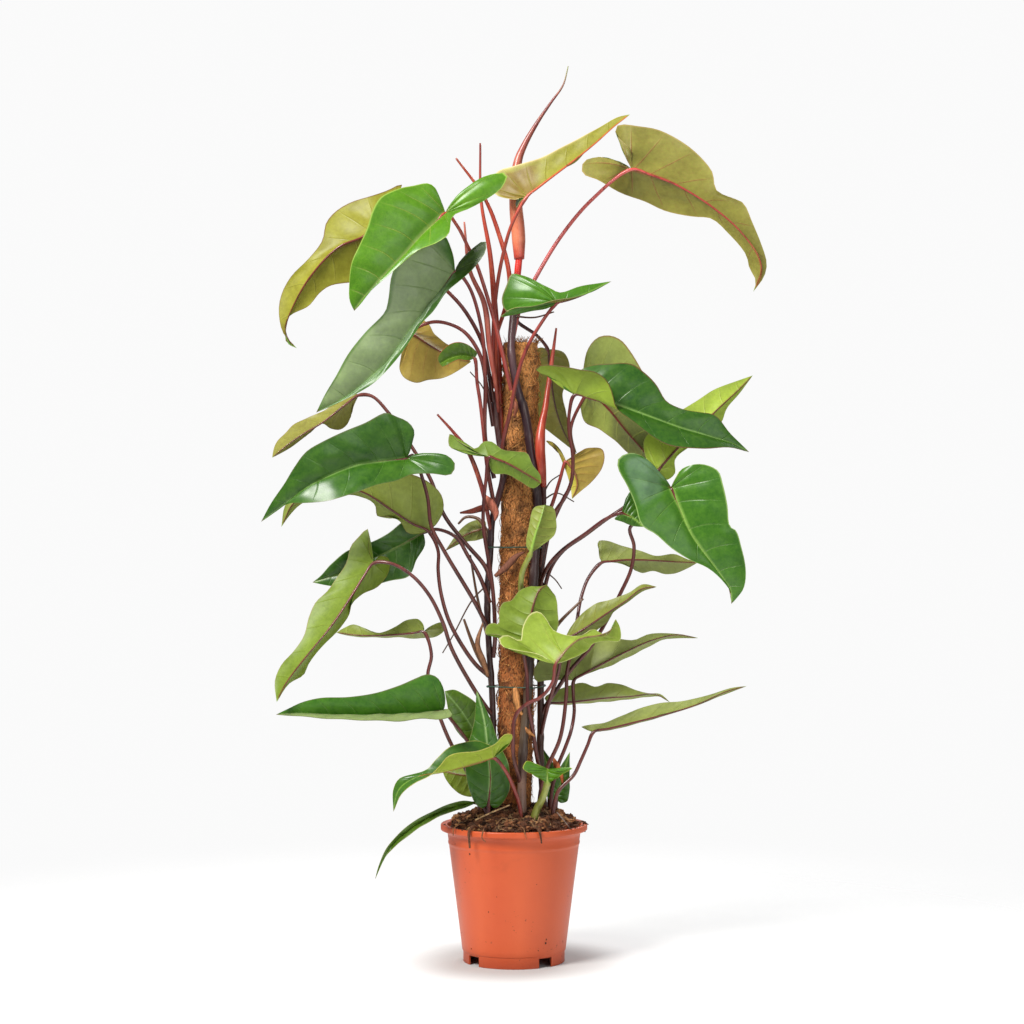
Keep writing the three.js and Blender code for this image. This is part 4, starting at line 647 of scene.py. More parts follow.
# STEMS
# Three dark grey-purple stems climb the pole. Each carries the bulges and scars of old leaves, and
# thin brown air roots grow from it.
stem_skin = Finish("stem skin")
scurf = stem_skin.noise(1.0, 4.0, 0.6, stem_skin.stretched(260, 260, 60))
speck = stem_skin.noise(520, 3.0, 0.6)
skin = stem_skin.mark("tint").out("Color")
skin = stem_skin.mix(scurf.step(0.5, 0.72) * 0.4, skin, paint(124, 106, 96))
skin = stem_skin.mix(speck.step(0.6, 0.7) * 0.5, skin, paint(40, 26, 28))
stem_skin.wear(base_color=skin, roughness=scurf * 0.25 + 0.24, coat_weight=0.2, coat_roughness=0.2,
               normal=stem_skin.bump(scurf + speck * 0.5, 0.0006))

# Colours up each stem by height: barky below, plum-dark where it climbs, scarlet at the growing end
BARK, DARK_BARK, MOSSY_BARK, GREY_STUB = (80, 48, 36), (58, 35, 31), (87, 70, 54), (146, 111, 94)
PLUM, DUSTY_PLUM, WINE, SCARLET = (48, 25, 31), (97, 66, 70), (86, 41, 38), (245, 52, 35)
STEM_TINTS = {
    "stem_front": [(120, BARK), (172, GREY_STUB), (206, GREY_STUB), (232, DARK_BARK), (262, MOSSY_BARK),
                   (300, MOSSY_BARK), (340, DARK_BARK), (420, DARK_BARK), (560, PLUM), (660, PLUM),
                   (700, DUSTY_PLUM), (765, DUSTY_PLUM), (785, WINE), (800, SCARLET), (815, SCARLET)],
    "stem_left": [(120, DARK_BARK), (300, DARK_BARK), (480, PLUM), (660, WINE)],
    "stem_right": [(120, BARK), (300, BARK), (450, DARK_BARK), (560, WINE)],
}
NODES_ALONG = {"stem_front": [0.07, 0.16, 0.27, 0.36, 0.46, 0.55, 0.64, 0.74, 0.83, 0.91],
               "stem_left": [0.1, 0.24, 0.38, 0.52, 0.67, 0.82], "stem_right": [0.12, 0.3, 0.5, 0.7, 0.88]}


def tinted(heights, table):
    at = [place for place, _ in table]
    colours = np.array([paint(*colour) for _, colour in table])
    return np.stack([np.interp(heights, at, colours[:, k]) for k in range(4)], axis=-1)


def with_nodes(radii, places):
    """Radii along a stem with a low swelling at each leaf scar."""
    shares = np.linspace(0, 1, 160)
    widths = np.interp(shares, np.linspace(0, 1, len(radii)), radii)
    for place in places:
        widths = widths * (1 + 0.13 * np.exp(-((shares - place) / 0.010) ** 2)
                           - 0.03 * np.exp(-((shares - place - 0.02) / 0.012) ** 2))
    return widths


STEMS = {
    "stem_front": {
        "path": [(9, -29, 132), (9, -27, 201), (11, -26, 258), (16, -23, 315), (22, -18, 430),
                 (25, -14, 488), (27, -13, 534), (20, -23, 583), (13, -27, 631), (3, -28, 666),
                 (-3, -26, 704), (-1, -15, 744), (3, -6, 785), (6, -3, 815)],
        "radii": [5.2, 5.2, 5, 5, 5, 5.2, 5.2, 5, 4.6, 4.2, 4],
        "branches": [
            {"path": [(-1, -15, 746), (24, -22, 744), (46, -26, 750)],
             "radii": [1.2, 0.8]},
        ],
    },
    "stem_left": {
        "path": [(-28, -8, 129), (-27, -8, 170), (-24, -6, 233), (-25, -5, 302), (-29, -4, 365),
                 (-31, -4, 424), (-28, -5, 464), (-25, -8, 511), (-17, -17, 540), (-12, -22, 563),
                 (-15, -18, 589), (-20, -13, 626), (-23, -8, 659)],
        "radii": [3.6, 3.6, 3.6, 3.6, 3.6, 3.8, 3.8, 4],
        "branches": [
            {"path": [(-32, -2, 435), (-49, 2, 417), (-70, 6, 378), (-83, 6, 356)],
             "radii": [1, 0.7]},
            {"path": [(-20, -12, 626), (-37, 2, 666), (-51, 6, 683)],
             "radii": [1, 0.7]},
            {"path": [(-29, -5, 330), (-42, -4, 354), (-51, -5, 376), (-58, -7, 396)],
             "radii": [2.4, 2.4, 1.4]},
            {"path": [(-30, 0, 372), (-42, 6, 418), (-51, 8, 470)],
             "radii": [2, 1.6, 1.2]},
            {"path": [(-27, -4, 482), (-40, 6, 511), (-56, 10, 514), (-65, 10, 506)],
             "radii": [2.4, 2.6, 2, 1.2]},
        ],
    },
    "stem_right": {
        "path": [(36, 6, 127), (35, 6, 171), (31, 7, 232), (31, 9, 284), (31, 12, 348), (31, 11, 406),
                 (31, 9, 453), (33, 8, 479), (33, 4, 511), (34, -4, 537), (33, -14, 557)],
        "radii": [4, 4, 4, 4, 3.8, 3.6, 3.6],
        "branches": [
            {"path": [(34, -6, 541), (42, -4, 555), (53, 0, 563)],
             "radii": [1, 0.7]},
            {"path": [(34, -3, 534), (50, 8, 542), (70, 14, 532)],
             "radii": [1, 0.7]},
            {"path": [(30, 9, 457), (39, 20, 449), (49, 26, 440), (56, 28, 430)],
             "radii": [1, 0.7]},
            {"path": [(31, 12, 359), (41, -2, 376), (53, -12, 393), (80, -14, 420)],
             "radii": [2.4, 2.2, 1.2]},
        ],
    },
}

for name, record in STEMS.items():
    parts = []
    trunk = tube(record["path"], with_nodes(record["radii"], NODES_ALONG[name]), 28, 2.2)
    parts.append((trunk[0] + 0.12 * grain(trunk[0], 9, 41)[:, None] * (1, 1, 0), trunk[1],
                  {"tint": tinted(trunk[0][:, 2], STEM_TINTS[name])}))
    for branch in record.get("branches", []):
        limb = tube(branch["path"], branch["radii"], 10, 2.5)
        old_root = max(branch["radii"]) < 1.5
        parts.append((limb[0], limb[1], {"tint": coloured(len(limb[0]), paint(*(
            (96, 64, 42) if old_root else (110, 74, 48))))}))
    points, faces, marks = gathered(parts)
    piece = put(name + "_skin", points, faces, [stem_skin.material], marks)
    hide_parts(name)

# SHOOTS
# The newest leaves are still rolled up in glossy, slightly translucent red sheaths. Each is a tapered
# roll whose free edge laps over itself in a fine line, with a pale line of painted sheen along the rim.
sheath = Finish("red sheath")
streak = sheath.noise(1.0, 3.0, 0.5, sheath.stretched(300, 300, 18))
red = sheath.mark("tint").out("Color")
red = sheath.mix(streak.step(0.42, 0.7) * 0.5, red, sheath.mix(0.5, red, paint(246, 150, 110)))
red = sheath.mix(sheath.noise(60, 3.0).step(0.6, 0.4) * 0.3, red, paint(140, 34, 28))
# Painted sheen: a pale line along the lapped edge.
lap = sheath.mark("lap").out("Fac")
red = sheath.mix(lap * 0.8, red, paint(250, 190, 150))
sheath.wear(base_color=red, roughness=0.34, coat_weight=0.25, coat_roughness=0.2,
            subsurface_weight=0.12, subsurface_radius=(0.004, 0.0016, 0.001),
            normal=sheath.bump(streak, 0.0003))

# Colours up each roll by height: duller where it leaves the stem, warmest in the middle
DULL_SHEATH, BRICK_SHEATH, WARM_SHEATH, SALMON = (122, 46, 38), (144, 60, 50), (184, 66, 44), (194, 105, 90)
PEACH, TIP_BROWN, TIP_GREEN = (220, 126, 92), (110, 38, 32), (150, 160, 100)
SHEATH_TINTS = {
    "shoot_top": [(813, (206, 62, 56)), (834, PEACH), (905, PEACH), (930, SALMON), (960, DULL_SHEATH),
                  (1000, TIP_BROWN), (1016, (140, 90, 56)), (1038, TIP_GREEN)],
    "shoot_tall_left": [(578, DULL_SHEATH), (720, WARM_SHEATH), (880, WARM_SHEATH), (946, DULL_SHEATH)],
    "shoot_pink": [(635, BRICK_SHEATH), (708, SALMON), (852, SALMON)],
    "shoot_right": [(540, (170, 48, 32)), (620, WARM_SHEATH), (760, WARM_SHEATH)],
    "shoot_low_left": [(560, DULL_SHEATH), (700, BRICK_SHEATH)],
}


def rolled(turns, share):
    """A section that winds outward once, with a step where its edge laps over."""
    return 1 + 0.07 * ((turns / (2 * math.pi) + 0.12 * share) % 1.0 - 0.5)


SHOOTS = {
    "shoot_top": {
        "path": [(6, -3, 813), (5, -2, 841), (2, -1, 876), (2, 0, 905), (5, 2, 929), (13, 3, 948),
                 (28, 4, 974), (43, 5, 996), (57, 5, 1016), (63, 5, 1038)],
        "radii": [6, 8, 8.2, 7.6, 7, 5.4, 3.8, 2.8, 2, 1.5, 1, 0.6],
    },
    "shoot_tall_left": {
        "path": [(-15, -18, 578), (-17, -2, 668), (-20, -4, 719), (-23, -10, 766), (-28, -12, 820),
                 (-38, -12, 880), (-39, -12, 946)],
        "radii": [3, 3.6, 4, 4, 3.2, 2.4, 1.6, 1.2],
        "branches": [
            {"path": [(-20, -3, 725), (-5, 4, 785), (-19, 0, 847), (-36, -6, 887), (-67, -10, 929)],
             "radii": [2, 2.8, 2.8, 2.6, 2, 1.2]},
        ],
    },
    "shoot_pink": {
        "path": [(-18, -14, 635), (-21, -22, 666), (-28, -32, 708), (-34, -37, 758), (-51, -38, 798),
                 (-57, -38, 852)],
        "radii": [1.6, 3, 3.4, 2.4, 1],
    },
    "shoot_right": {
        "path": [(34, -11, 550), (32, -22, 571), (30, -29, 591), (31, -26, 614), (36, -18, 640),
                 (39, -12, 660), (44, -7, 696), (49, -5, 733)],
        "radii": [3.6, 4.8, 5.8, 5.8, 4.4, 3.6, 3.2, 2.8, 2.4, 1.8, 1.2],
    },
    "shoot_low_left": {
        "path": [(-27, -8, 499), (-37, -26, 548), (-53, -32, 590), (-69, -32, 611), (-88, -32, 632)],
        "radii": [2, 2.8, 2.8, 2.2, 1.2],
    },
}

for name, record in SHOOTS.items():
    parts = []
    for limb in [record, *record.get("branches", [])]:
        roll = tube(limb["path"], limb["radii"], 26, 2.6, shape=rolled)
        winding = (roll[2]["turn"] / (2 * math.pi) + 0.12 * roll[2]["along"]) % 1.0
        parts.append((roll[0], roll[1], {
            "tint": tinted(roll[0][:, 2], SHEATH_TINTS[name]),
            "lap": np.clip(1 - np.abs(winding - 0.97) / 0.05, 0, 1)}))
    points, faces, marks = gathered(parts)
    piece = put(name + "_roll", points, faces, [sheath.material], marks)
    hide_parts(name)


# DRY SHEATHS
# Papery brown scraps of the sheaths that young leaves came out of. They are thin and flat, and cling
# to the stems and stalks where the leaves opened.
SCRAPS = [([(-33, -36, 538), (-27, -39, 530), (-21, -38, 518), (-22, -36, 510)],
           [2, 6, 5, 1], (196, 112, 88)),
          ([(-24, -34, 526), (-38, -36, 524), (-48, -38, 521), (-62, -36, 519)],
           [3, 4, 3, 1], (140, 62, 44)),
          ([(1, -27, 318), (3, -29, 304), (6, -28, 292), (12, -27, 284)], [3, 5, 4, 1], (220, 150, 84)),
          ([(-22, -26, 446), (-10, -30, 456), (4, -28, 470), (12, -27, 474)],
           [2, 4, 4, 1], (132, 80, 58)),
          ([(44, -14, 238), (50, -18, 226), (55, -17, 214), (56, -14, 206)],
           [1, 4, 3, 1], (196, 104, 56)),
          ([(10, -29, 274), (16, -31, 268), (24, -29, 262)], [2, 3, 1], (216, 146, 84)),
          ([(-36, -20, 392), (-42, -24, 368), (-34, -22, 344), (-30, -20, 330)],
           [1, 3, 4, 2], (150, 104, 70)),
          ([(-4, -27, 652), (2, -32, 640), (0, -31, 628)], [2, 4, 1], (150, 84, 58))]
SCRAP_THICKNESS = 0.09


def flattened(turns, share):
    """An oval section, as thick as the share of its width set in SCRAP_THICKNESS. Its share argument is not
    used.
    """
    return 1 / np.hypot(np.cos(turns), np.sin(turns) / SCRAP_THICKNESS)


scraps = []
for path, radii, colour in SCRAPS:
    strip = tube(path, radii, 16, 2, shape=flattened)
    scraps.append((strip[0], strip[1], {"tint": coloured(len(strip[0]), paint(*colour))}))
papery = Finish("dry sheath")
fibres = papery.noise(1.0, 4.0, 0.6, papery.stretched(500, 500, 120))
brown = papery.mix(fibres.step(0.4, 0.66) * 0.55, papery.mark("tint").out("Color"), paint(84, 44, 28))
papery.wear(base_color=brown, roughness=0.75, normal=papery.bump(fibres, 0.0005))
points, faces, marks = gathered(scraps)
put("dry_sheaths", points, faces, [papery.material], marks)

# LEAVES
# Heart and arrow shaped blades, glossy dark green above and satin olive below, each on a long stalk
# that runs on under the blade as its midrib. Blades fold, curl and wave, so many show both faces.
BLADE_THICKNESS, ARCH, WAVE, WAVE_START, VEIN_LEAD = 0.8, 0.07, 9, 1.7, 0.12
STALK_BASE, STALK_TIP = 2.6, 1.9
# A plain half's rim from lobe to tip: the share along the midrib and the share of the width
OUTLINE = [(-0.6, 0.12), (-1, 0.5), (-0.5, 0.9), (0, 1), (0.25, 0.93), (0.45, 0.72), (0.65, 0.46),
           (0.85, 0.18)]
# How far the tissue stands out between veins, ripples in broad lumps and waves at the edge, and how
# far the veins bow toward the tip as a share of their length
QUILT, RIPPLE, RIPPLE_SIZE, EDGE_WAVE, VEIN_BOW = 2.8, 3.2, 26, 0.6, 0.36
VEINS, ROWS_PER_VEIN, COLUMNS = 9, 5, 11
ROWS = VEINS * ROWS_PER_VEIN
# Upper faces, from leaves in the shade to young ones; then undersides, veins and stalks
SHADE_GREEN, DEEP_GREEN, LEAF_GREEN = (34, 90, 12), (41, 97, 15), (49, 104, 18)
FRESH_GREEN, BRIGHT_GREEN, YOUNG_GREEN = (54, 117, 16), (66, 129, 15), (80, 140, 10)
DUSTY_GREEN = (66, 96, 18)
OLIVE, DULL_OLIVE, YELLOW_OLIVE, STRAW = (139, 137, 60), (124, 138, 58), (149, 148, 36), (179, 151, 69)
SAGE, GREY_SAGE, PALE_SAGE = (138, 158, 66), (144, 160, 86), (160, 178, 88)
MOSS, GRASS, SPRING, LIME = (111, 145, 34), (96, 137, 36), (152, 184, 58), (172, 202, 68)
VEIN, PALE_VEIN, SAGE_VEIN, CREAM_VEIN = (100, 144, 60), (128, 165, 78), (176, 184, 99), (172, 169, 82)
MOSS_VEIN, SPRING_VEIN, LIME_VEIN = (150, 170, 70), (174, 198, 80), (200, 210, 102)
PINK_VEIN, STRAW_VEIN = (188, 96, 82), (209, 163, 86)
MAROON_STALK, WINE_STALK = (89, 31, 30), (96, 36, 33)
BROWN_STALK, RED_STALK = (126, 48, 42), (152, 56, 52)
ROSE_STALK, CORAL_STALK, LIME_STALK = (177, 68, 60), (208, 84, 62), (130, 133, 52)


def veins_of(finish, width, fade):
    """The lines of the side veins, from the row number that each point carries."""
    row = finish.mark("row").out("Fac") * VEINS
    off = (row.math("FRACT") - 0.5).math("ABSOLUTE")
    reach = finish.mark("gap").out("Fac")
    nearness = (off * -1 + 0.5) * reach
    return nearness.step(0.0, width, 1.0, 0.0) * finish.mark("across").out("Fac").step(fade, 1.0, 1.0, 0.1)


def blade_finish(name, rough, vein_width, coat, upper):
    """A blade's face: mottled tissue, side veins that shine through and a paler, thicker edge."""
    blade = Finish(name)
    colour = blade.mark("base").out("Color")
    vein_colour = blade.mark("vein").out("Color")
    mottle = blade.noise(70, 4.0, 0.6)
    pores = blade.noise(1400, 2.0, 0.5)
    network = blade.node("ShaderNodeTexVoronoi", {"feature": "DISTANCE_TO_EDGE"}, {
        "Vector": blade.place(), "Scale": 330.0}).out("Distance").step(0.0, 0.09, 1.0, 0.0)
    lines = veins_of(blade, vein_width, 0.45)
    halo = veins_of(blade, vein_width * 5, 0.5)
    across = blade.mark("across").out("Fac")
    edge = across.step(0.965, 0.99)
    broad = blade.noise(24, 3.0, 0.55)
    tissue = blade.noise(210, 3.0, 0.6)
    shade, light = ((12, 36, 5), (150, 190, 60)) if upper else ((84, 66, 20), (206, 204, 92))
    colour = blade.mix((mottle - 0.5) + (broad - 0.5) + (tissue - 0.5) * 1.2 + 0.5,
                       blade.mix(0.34 if upper else 0.36, colour, paint(*shade)),
                       blade.mix(0.16, colour, paint(*light)))
    colour = blade.mix(halo * (0.16 if upper else 0.26), colour, vein_colour)
    colour = blade.mix(lines * (0.4 if upper else 0.5), colour, vein_colour)
    colour = blade.mix(network * (0.05 if upper else 0.1), colour, vein_colour)
    colour = blade.mix(edge * 0.85, colour, blade.mark("rim").out("Color"))
    line_rise, halo_rise = (-0.8, -0.5) if upper else (1.3, 0.5)
    relief = lines * line_rise + halo * halo_rise + pores * 0.07 + mottle * 0.25
    blade.wear(base_color=colour, roughness=mottle * 0.12 + pores * 0.06 + rough - halo * 0.04,
               coat_weight=coat, coat_roughness=0.22, specular_ior_level=0.42 if upper else 0.36,
               subsurface_weight=0.08, subsurface_radius=(0.002, 0.003, 0.0006),
               normal=blade.bump(relief, 0.0007, 0.7))
    return blade.material


leaf_top = blade_finish("leaf upper face", 0.25, 0.3, 0.1, True)
leaf_under = blade_finish("leaf underside", 0.38, 0.32, 0.0, False)

stalk = Finish("leaf stalk")
along_streak = stalk.noise(1.0, 2.0, 0.5, stalk.stretched(150, 150, 14))
stalk_colour = stalk.mark("base").out("Color")
stripe = stalk.mark("vein").out("Color")
stalk_colour = stalk.mix(stalk.mark("across").out("Fac"), stalk_colour, stripe)
stalk_colour = stalk.mix(along_streak.step(0.5, 0.75) * 0.25, stalk_colour, stripe)
stalk_colour = stalk.mix(along_streak.step(0.5, 0.3) * 0.5, stalk_colour, paint(44, 16, 20))
stalk.wear(base_color=stalk_colour, roughness=0.27, coat_weight=0.2, coat_roughness=0.15,
           subsurface_weight=0.06, subsurface_radius=(0.003, 0.0015, 0.001),
           normal=stalk.bump(along_streak, 0.00015))


def frame_at(curve, share):
    """At a share of a midrib: its direction, the way the blade faces and the way to its left."""
    step = 0.004
    tangent = unit(along(curve, np.minimum(share + step, 1)) - along(curve, np.maximum(share - step, 0)))
    front = unit(np.stack([tangent[..., 0] * tangent[..., 1], -1 + tangent[..., 1] ** 2,
                           tangent[..., 2] * tangent[..., 1]], axis=-1))
    return tangent, front, np.cross(front, tangent)


def vein_foot(beside):
    """Where on the midrib a vein starts that ends beside the share given, since veins sweep forward."""
    return np.maximum(0, (beside - VEIN_LEAD) / (1 - VEIN_LEAD)) ** 1.15


def outline_half(curve, half, side, phase):
    """The rim of a plain half, from its width, the reach of its lobe and its tilts in degrees."""
    rim, feet = [], []
    for share, across in OUTLINE:
        at = max(0.0, share)
        tangent, front, left = (v[0] for v in frame_at(curve, np.array([at])))
        blend = min(1.0, max(0.0, (share + 0.05) / 0.47))
        lobe = 1 - blend * blend * (3 - 2 * blend)
        angle = math.radians(half["tilt"] + (half["lobe_tilt"] - half["tilt"]) * lobe
                             + WAVE * math.sin(9 * share + phase))
        reach = share * half["reach"] if share < 0 else 0.0
        rim.append(along(curve, np.array([at]))[0] + tangent * reach
                   + left * side * math.cos(angle) * across * half["width"]
                   + front * math.sin(angle) * across * half["width"])
        feet.append(float(vein_foot(at)))
    return np.array(rim), np.array(feet)


def read_half(curve, rim):
    """The rim of a half that is given point by point, and the foot of each point on the midrib."""
    shares = np.linspace(0, 1, 61)
    spine = along(curve, shares)
    feet, highest = [], 0.0
    for point in rim:
        highest = max(highest, float(vein_foot(shares[np.argmin(np.linalg.norm(spine - point, axis=1))])))
        feet.append(highest)
    return np.array(rim, float), np.array(feet)


def colour_zone(zones, side, face, across, row):
    """How much of each painted zone a point takes: (colour, side, face, across from-to, row from-to)."""
    for colour, on_side, on_face, (a0, a1), (r0, r1) in zones:
        if on_side not in (0, side) or on_face != face:
            continue
        soft = 0.06
        share = (np.clip((across - a0) / soft + 0.5, 0, 1) * np.clip((a1 - across) / soft + 0.5, 0, 1)
                 * np.clip((row - r0) / soft + 0.5, 0, 1) * np.clip((r1 - row) / soft + 0.5, 0, 1))
        yield share[..., None], np.array(paint(*colour))


def middle_sheet(curve, half, side, shows, seed):
    """The middle of one half of a blade as a grid from base to tip: arched, quilted and wavy."""
    toward_top = 1 if shows == "top" else -1
    phase = round(seed * WAVE_START % 6.28, 1)
    made = outline_half(curve, half, side, phase) if isinstance(half, dict) else read_half(curve, half)
    rim_points, feet = made
    loop = np.vstack([along(curve, np.array([0.0])), rim_points, along(curve, np.array([1.0]))])
    knots = np.concatenate([[0.0], np.maximum.accumulate(feet), [1.0]])
    edge = curve_through(loop, 10)
    knot_at = edge[1][::10][:len(knots)] / edge[1][-1]
    number = np.linspace(0, 1, ROWS + 1)
    foot = np.interp(number, knot_at, knots)
    base = along(curve, foot)
    tangent, front, _ = frame_at(curve, foot)
    spans = along(edge, number) - base
    reach = np.linalg.norm(spans, axis=1)
    square = unit(np.cross(tangent, spans) * side + front * 0.2 * reach[:, None])
    columns = np.linspace(0, 1, COLUMNS + 1)
    arch = (toward_top * ARCH * 4 * columns * (1 - columns))[None, :, None] * reach[:, None, None]
    grid = base[:, None] + spans[:, None] * columns[None, :, None] + square[:, None] * arch
    bow = (VEIN_BOW * np.clip(foot * 5, 0, 1) * np.clip((1 - foot) * 4, 0, 1) * reach)[:, None]
    grid = grid - tangent[:, None] * (bow * columns * (1 - columns) ** 1.4)[..., None]
    quilt = np.abs((number * VEINS) % 1.0 - 0.5)[:, None]
    body = np.sin(np.pi * columns)[None, :] ** 0.7 * np.clip(reach / 40, 0, 1)[:, None]
    ripple = 0.35 * grain(grid.reshape(-1, 3), RIPPLE_SIZE, seed * 7 + 3).reshape(grid.shape[:2])
    normal = unit(np.cross(np.gradient(grid, axis=0), np.gradient(grid, axis=1) * side))
    normal[(normal * square[:, None]).sum(-1) < 0] *= -1
    offset = RIPPLE * ripple * body - QUILT * (quilt - 0.25) * toward_top * body
    wave_edge = EDGE_WAVE * np.sin(number * 37 + phase * 3)[:, None] * columns[None, :] ** 4 * np.clip(
        reach / 30, 0, 1)[:, None]
    grid = grid + normal * (offset + wave_edge)[..., None]
    return grid, normal, reach


def half_faces(side, shows):
    """Faces of a half's front and back sheets and of the wall round them, and the material of each."""
    width, count = COLUMNS + 1, (ROWS + 1) * (COLUMNS + 1)
    seen, hidden = (0, 1) if shows == "top" else (1, 0)
    faces, kinds = [], []
    for start, way, kind in ((0, side, seen), (count, -side, hidden)):
        for r in range(ROWS):
            for c in range(COLUMNS):
                a = start + r * width + c
                quad = (a, a + 1, a + width + 1, a + width)
                faces.append(quad if way < 0 else quad[::-1])
                kinds.append(kind)
    loop = (list(range(width)) + [r * width + COLUMNS for r in range(1, ROWS + 1)]
            + [ROWS * width + c for c in range(COLUMNS - 1, -1, -1)]
            + [r * width for r in range(ROWS - 1, 0, -1)])
    for i, j in zip(loop, loop[1:] + loop[:1]):
        wall = (i, j, count + j, count + i)
        faces.append(wall if side < 0 else wall[::-1])
        kinds.append(seen)
    return faces, kinds


def leaf(name, shows, midrib, left, right, petiole, top, under, thick=1.0, veins=VEIN,
         under_veins=CREAM_VEIN, rib=(150, 190, 84), under_rib=(112, 44, 34), rim=(150, 150, 90),
         stalk_from=(58, 28, 25), stalk_to=MAROON_STALK, stripe=(156, 92, 80), zones=()):
    """One leaf. Points run from the blade's base to its tip, and the petiole's from the stem up. shows
    is the face at the front, the colours are those of its faces, veins, ribs, rim and stalk, and zones
    are painted patches: colour, side, face, span across from the midrib, span from base to tip."""
    curve = curve_through(midrib)
    parts, kinds = [], []
    for side, half in ((1, left), (-1, right)):
        grid, normal, reach = middle_sheet(curve, half, side, shows, int(name[-2:]))
        across = np.broadcast_to(np.linspace(0, 1, COLUMNS + 1)[None, :], grid.shape[:2])
        row = np.broadcast_to(np.linspace(0, 1, ROWS + 1)[:, None], grid.shape[:2])
        spread = np.linalg.norm(np.gradient(grid, axis=0), axis=-1) * ROWS / VEINS
        thickness = BLADE_THICKNESS / 2 * np.clip(1.25 - 0.5 * across, 0.7, 1)
        near_rib = (np.clip(1 - across * reach[:, None] / 2.2, 0, 1) * 0.9)[..., None]
        faces, half_kinds = half_faces(side, shows)
        kinds += half_kinds
        sheets = []
        for face, way in (("front", 1), ("back", -1)):
            is_top = (shows == "top") == (face == "front")
            base = np.tile(np.array(paint(*(top if is_top else under))), (*grid.shape[:2], 1))
            for share, colour in colour_zone(zones, side, "top" if is_top else "under", across, row):
                base = base * (1 - share) + colour * share
            base = base * (1 - near_rib) + np.array(paint(*(rib if is_top else under_rib))) * near_rib
            sheets.append(((grid + normal * (thickness * way)[..., None]).reshape(-1, 3), [], {
                "base": base.reshape(-1, 4),
                "vein": coloured(grid.size // 3, paint(*(veins if is_top else under_veins))),
                "rim": coloured(grid.size // 3, paint(*rim)),
                "across": across.ravel(), "row": row.ravel(), "gap": spread.ravel()}))
        points, _, marks = gathered(sheets)
        parts.append((points, faces, marks))
    parts.append(stalk_of(curve, shows, petiole, thick, stalk_from, stalk_to, under_rib, stripe))
    kinds += [2] * len(parts[-1][1])
    points, faces, marks = gathered(parts)
    piece = put(name + "_blade", points, faces, [leaf_top, leaf_under, stalk.material],
                marks, kinds)
    tidy_mesh(piece)
    piece.data.set_sharp_from_angle(angle=math.radians(55))
    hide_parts(name)


def stalk_of(curve, shows, petiole, thick, start_colour, end_colour, rib_colour, stripe):
    """The stalk, and its run under the blade as a midrib that thins to nothing at the tip."""
    back = 1 if shows == "under" else -1
    shares = np.array([0.0, 0.1, 0.25, 0.45, 0.65, 0.85, 0.97])
    _, front, _ = frame_at(curve, shares)
    sunk = np.array([0.2, 0.5, 0.6, 0.5, 0.4, 0.3, 0.1])
    ends = along(curve, shares) + front * (back * sunk)[:, None]
    path = np.vstack([np.array(petiole, float), ends])
    own = curve_through(np.vstack([np.array(petiole, float), ends[:1]]))[1][-1]
    at = own / curve_through(path)[1][-1]
    table = np.linspace(0, 1, 120)
    free = (STALK_BASE + (STALK_TIP - STALK_BASE) * np.minimum(table / at, 1)) * thick
    midrib = (STALK_TIP * thick) * (1 - np.clip((table - at) / (1 - at), 0, 1)) ** 0.8 * 0.72 + 0.22
    radii = np.where(table < at, free, midrib)
    radii = radii * (1 + 0.22 * np.exp(-((table - at * 0.985) / 0.02) ** 2))
    drop = np.clip((table - at + 0.02) / 0.04, 0, 1)
    radii = radii * (1 - 0.12 * drop)
    made = tube(path, radii, 12, 3.2)
    place = made[2]["along"]
    mixed = np.clip(place / at, 0, 1)[:, None]
    base = np.array(paint(*start_colour)) * (1 - mixed) + np.array(paint(*end_colour)) * mixed
    past = np.clip((place - at) / (0.12 * (1 - at) + 1e-6), 0, 1)[:, None]
    base = base * (1 - past) + np.array(paint(*rib_colour)) * past
    pale = np.tile(np.array(paint(*stripe)), (len(place), 1)) * (1 - past * 0.8) + base * past * 0.8
    stripe_share = np.clip(np.cos(made[2]["turn"] - 2.4) * 1.6 - 0.9, 0, 1) * 0.55
    zero = np.zeros(len(place))
    return made[0], made[1], {"base": base, "vein": pale, "rim": base, "across": stripe_share,
                              "row": zero, "gap": zero}


def tidy_mesh(piece):
    """Joins the points that lie together at the base and tip and drops faces without area."""
    shape = bmesh.new()
    shape.from_mesh(piece.data)
    bmesh.ops.dissolve_degenerate(shape, edges=shape.edges[:], dist=1e-6)
    shape.to_mesh(piece.data)
    shape.free()


# Big upper right leaf, seen from below: olive with pink-red veins
leaf("leaf_01", "under",
     midrib=[(136, -10, 916), (178, -14, 902), (222, -18, 876), (259, -20, 845), (281, -18, 817),
             (286, -12, 795), (277, -6, 775)],
     left=[(135, 0, 940), (119, 10, 960), (121, 14, 971), (147, 12, 969), (170, 13, 965), (199, 7, 948),
           (219, 3, 930), (230, -2, 914), (234, -10, 892), (250, -9, 884), (265, -7, 878),
           (275, -12, 855), (286, -14, 828), (292, -11, 807), (289, -10, 792)],
     right=[(114, 13, 931), (95, 31, 936), (82, 41, 932), (81, 41, 919), (98, 27, 909), (124, 17, 893),
            (153, 16, 882), (174, 14, 872), (207, 3, 863), (229, -9, 859), (246, -10, 844),
            (268, -9, 818), (273, -3, 803), (280, -7, 787)],
     petiole=[(-1, -17, 721), (7, -2, 756), (24, 4, 790), (55, 6, 841), (90, 0, 882)],
     top=LEAF_GREEN, under=OLIVE, under_veins=PINK_VEIN, under_rib=(176, 64, 54), rim=(170, 150, 84),
         stalk_from=(210, 66, 68), stalk_to=(224, 82, 76), stripe=(232, 150, 140))

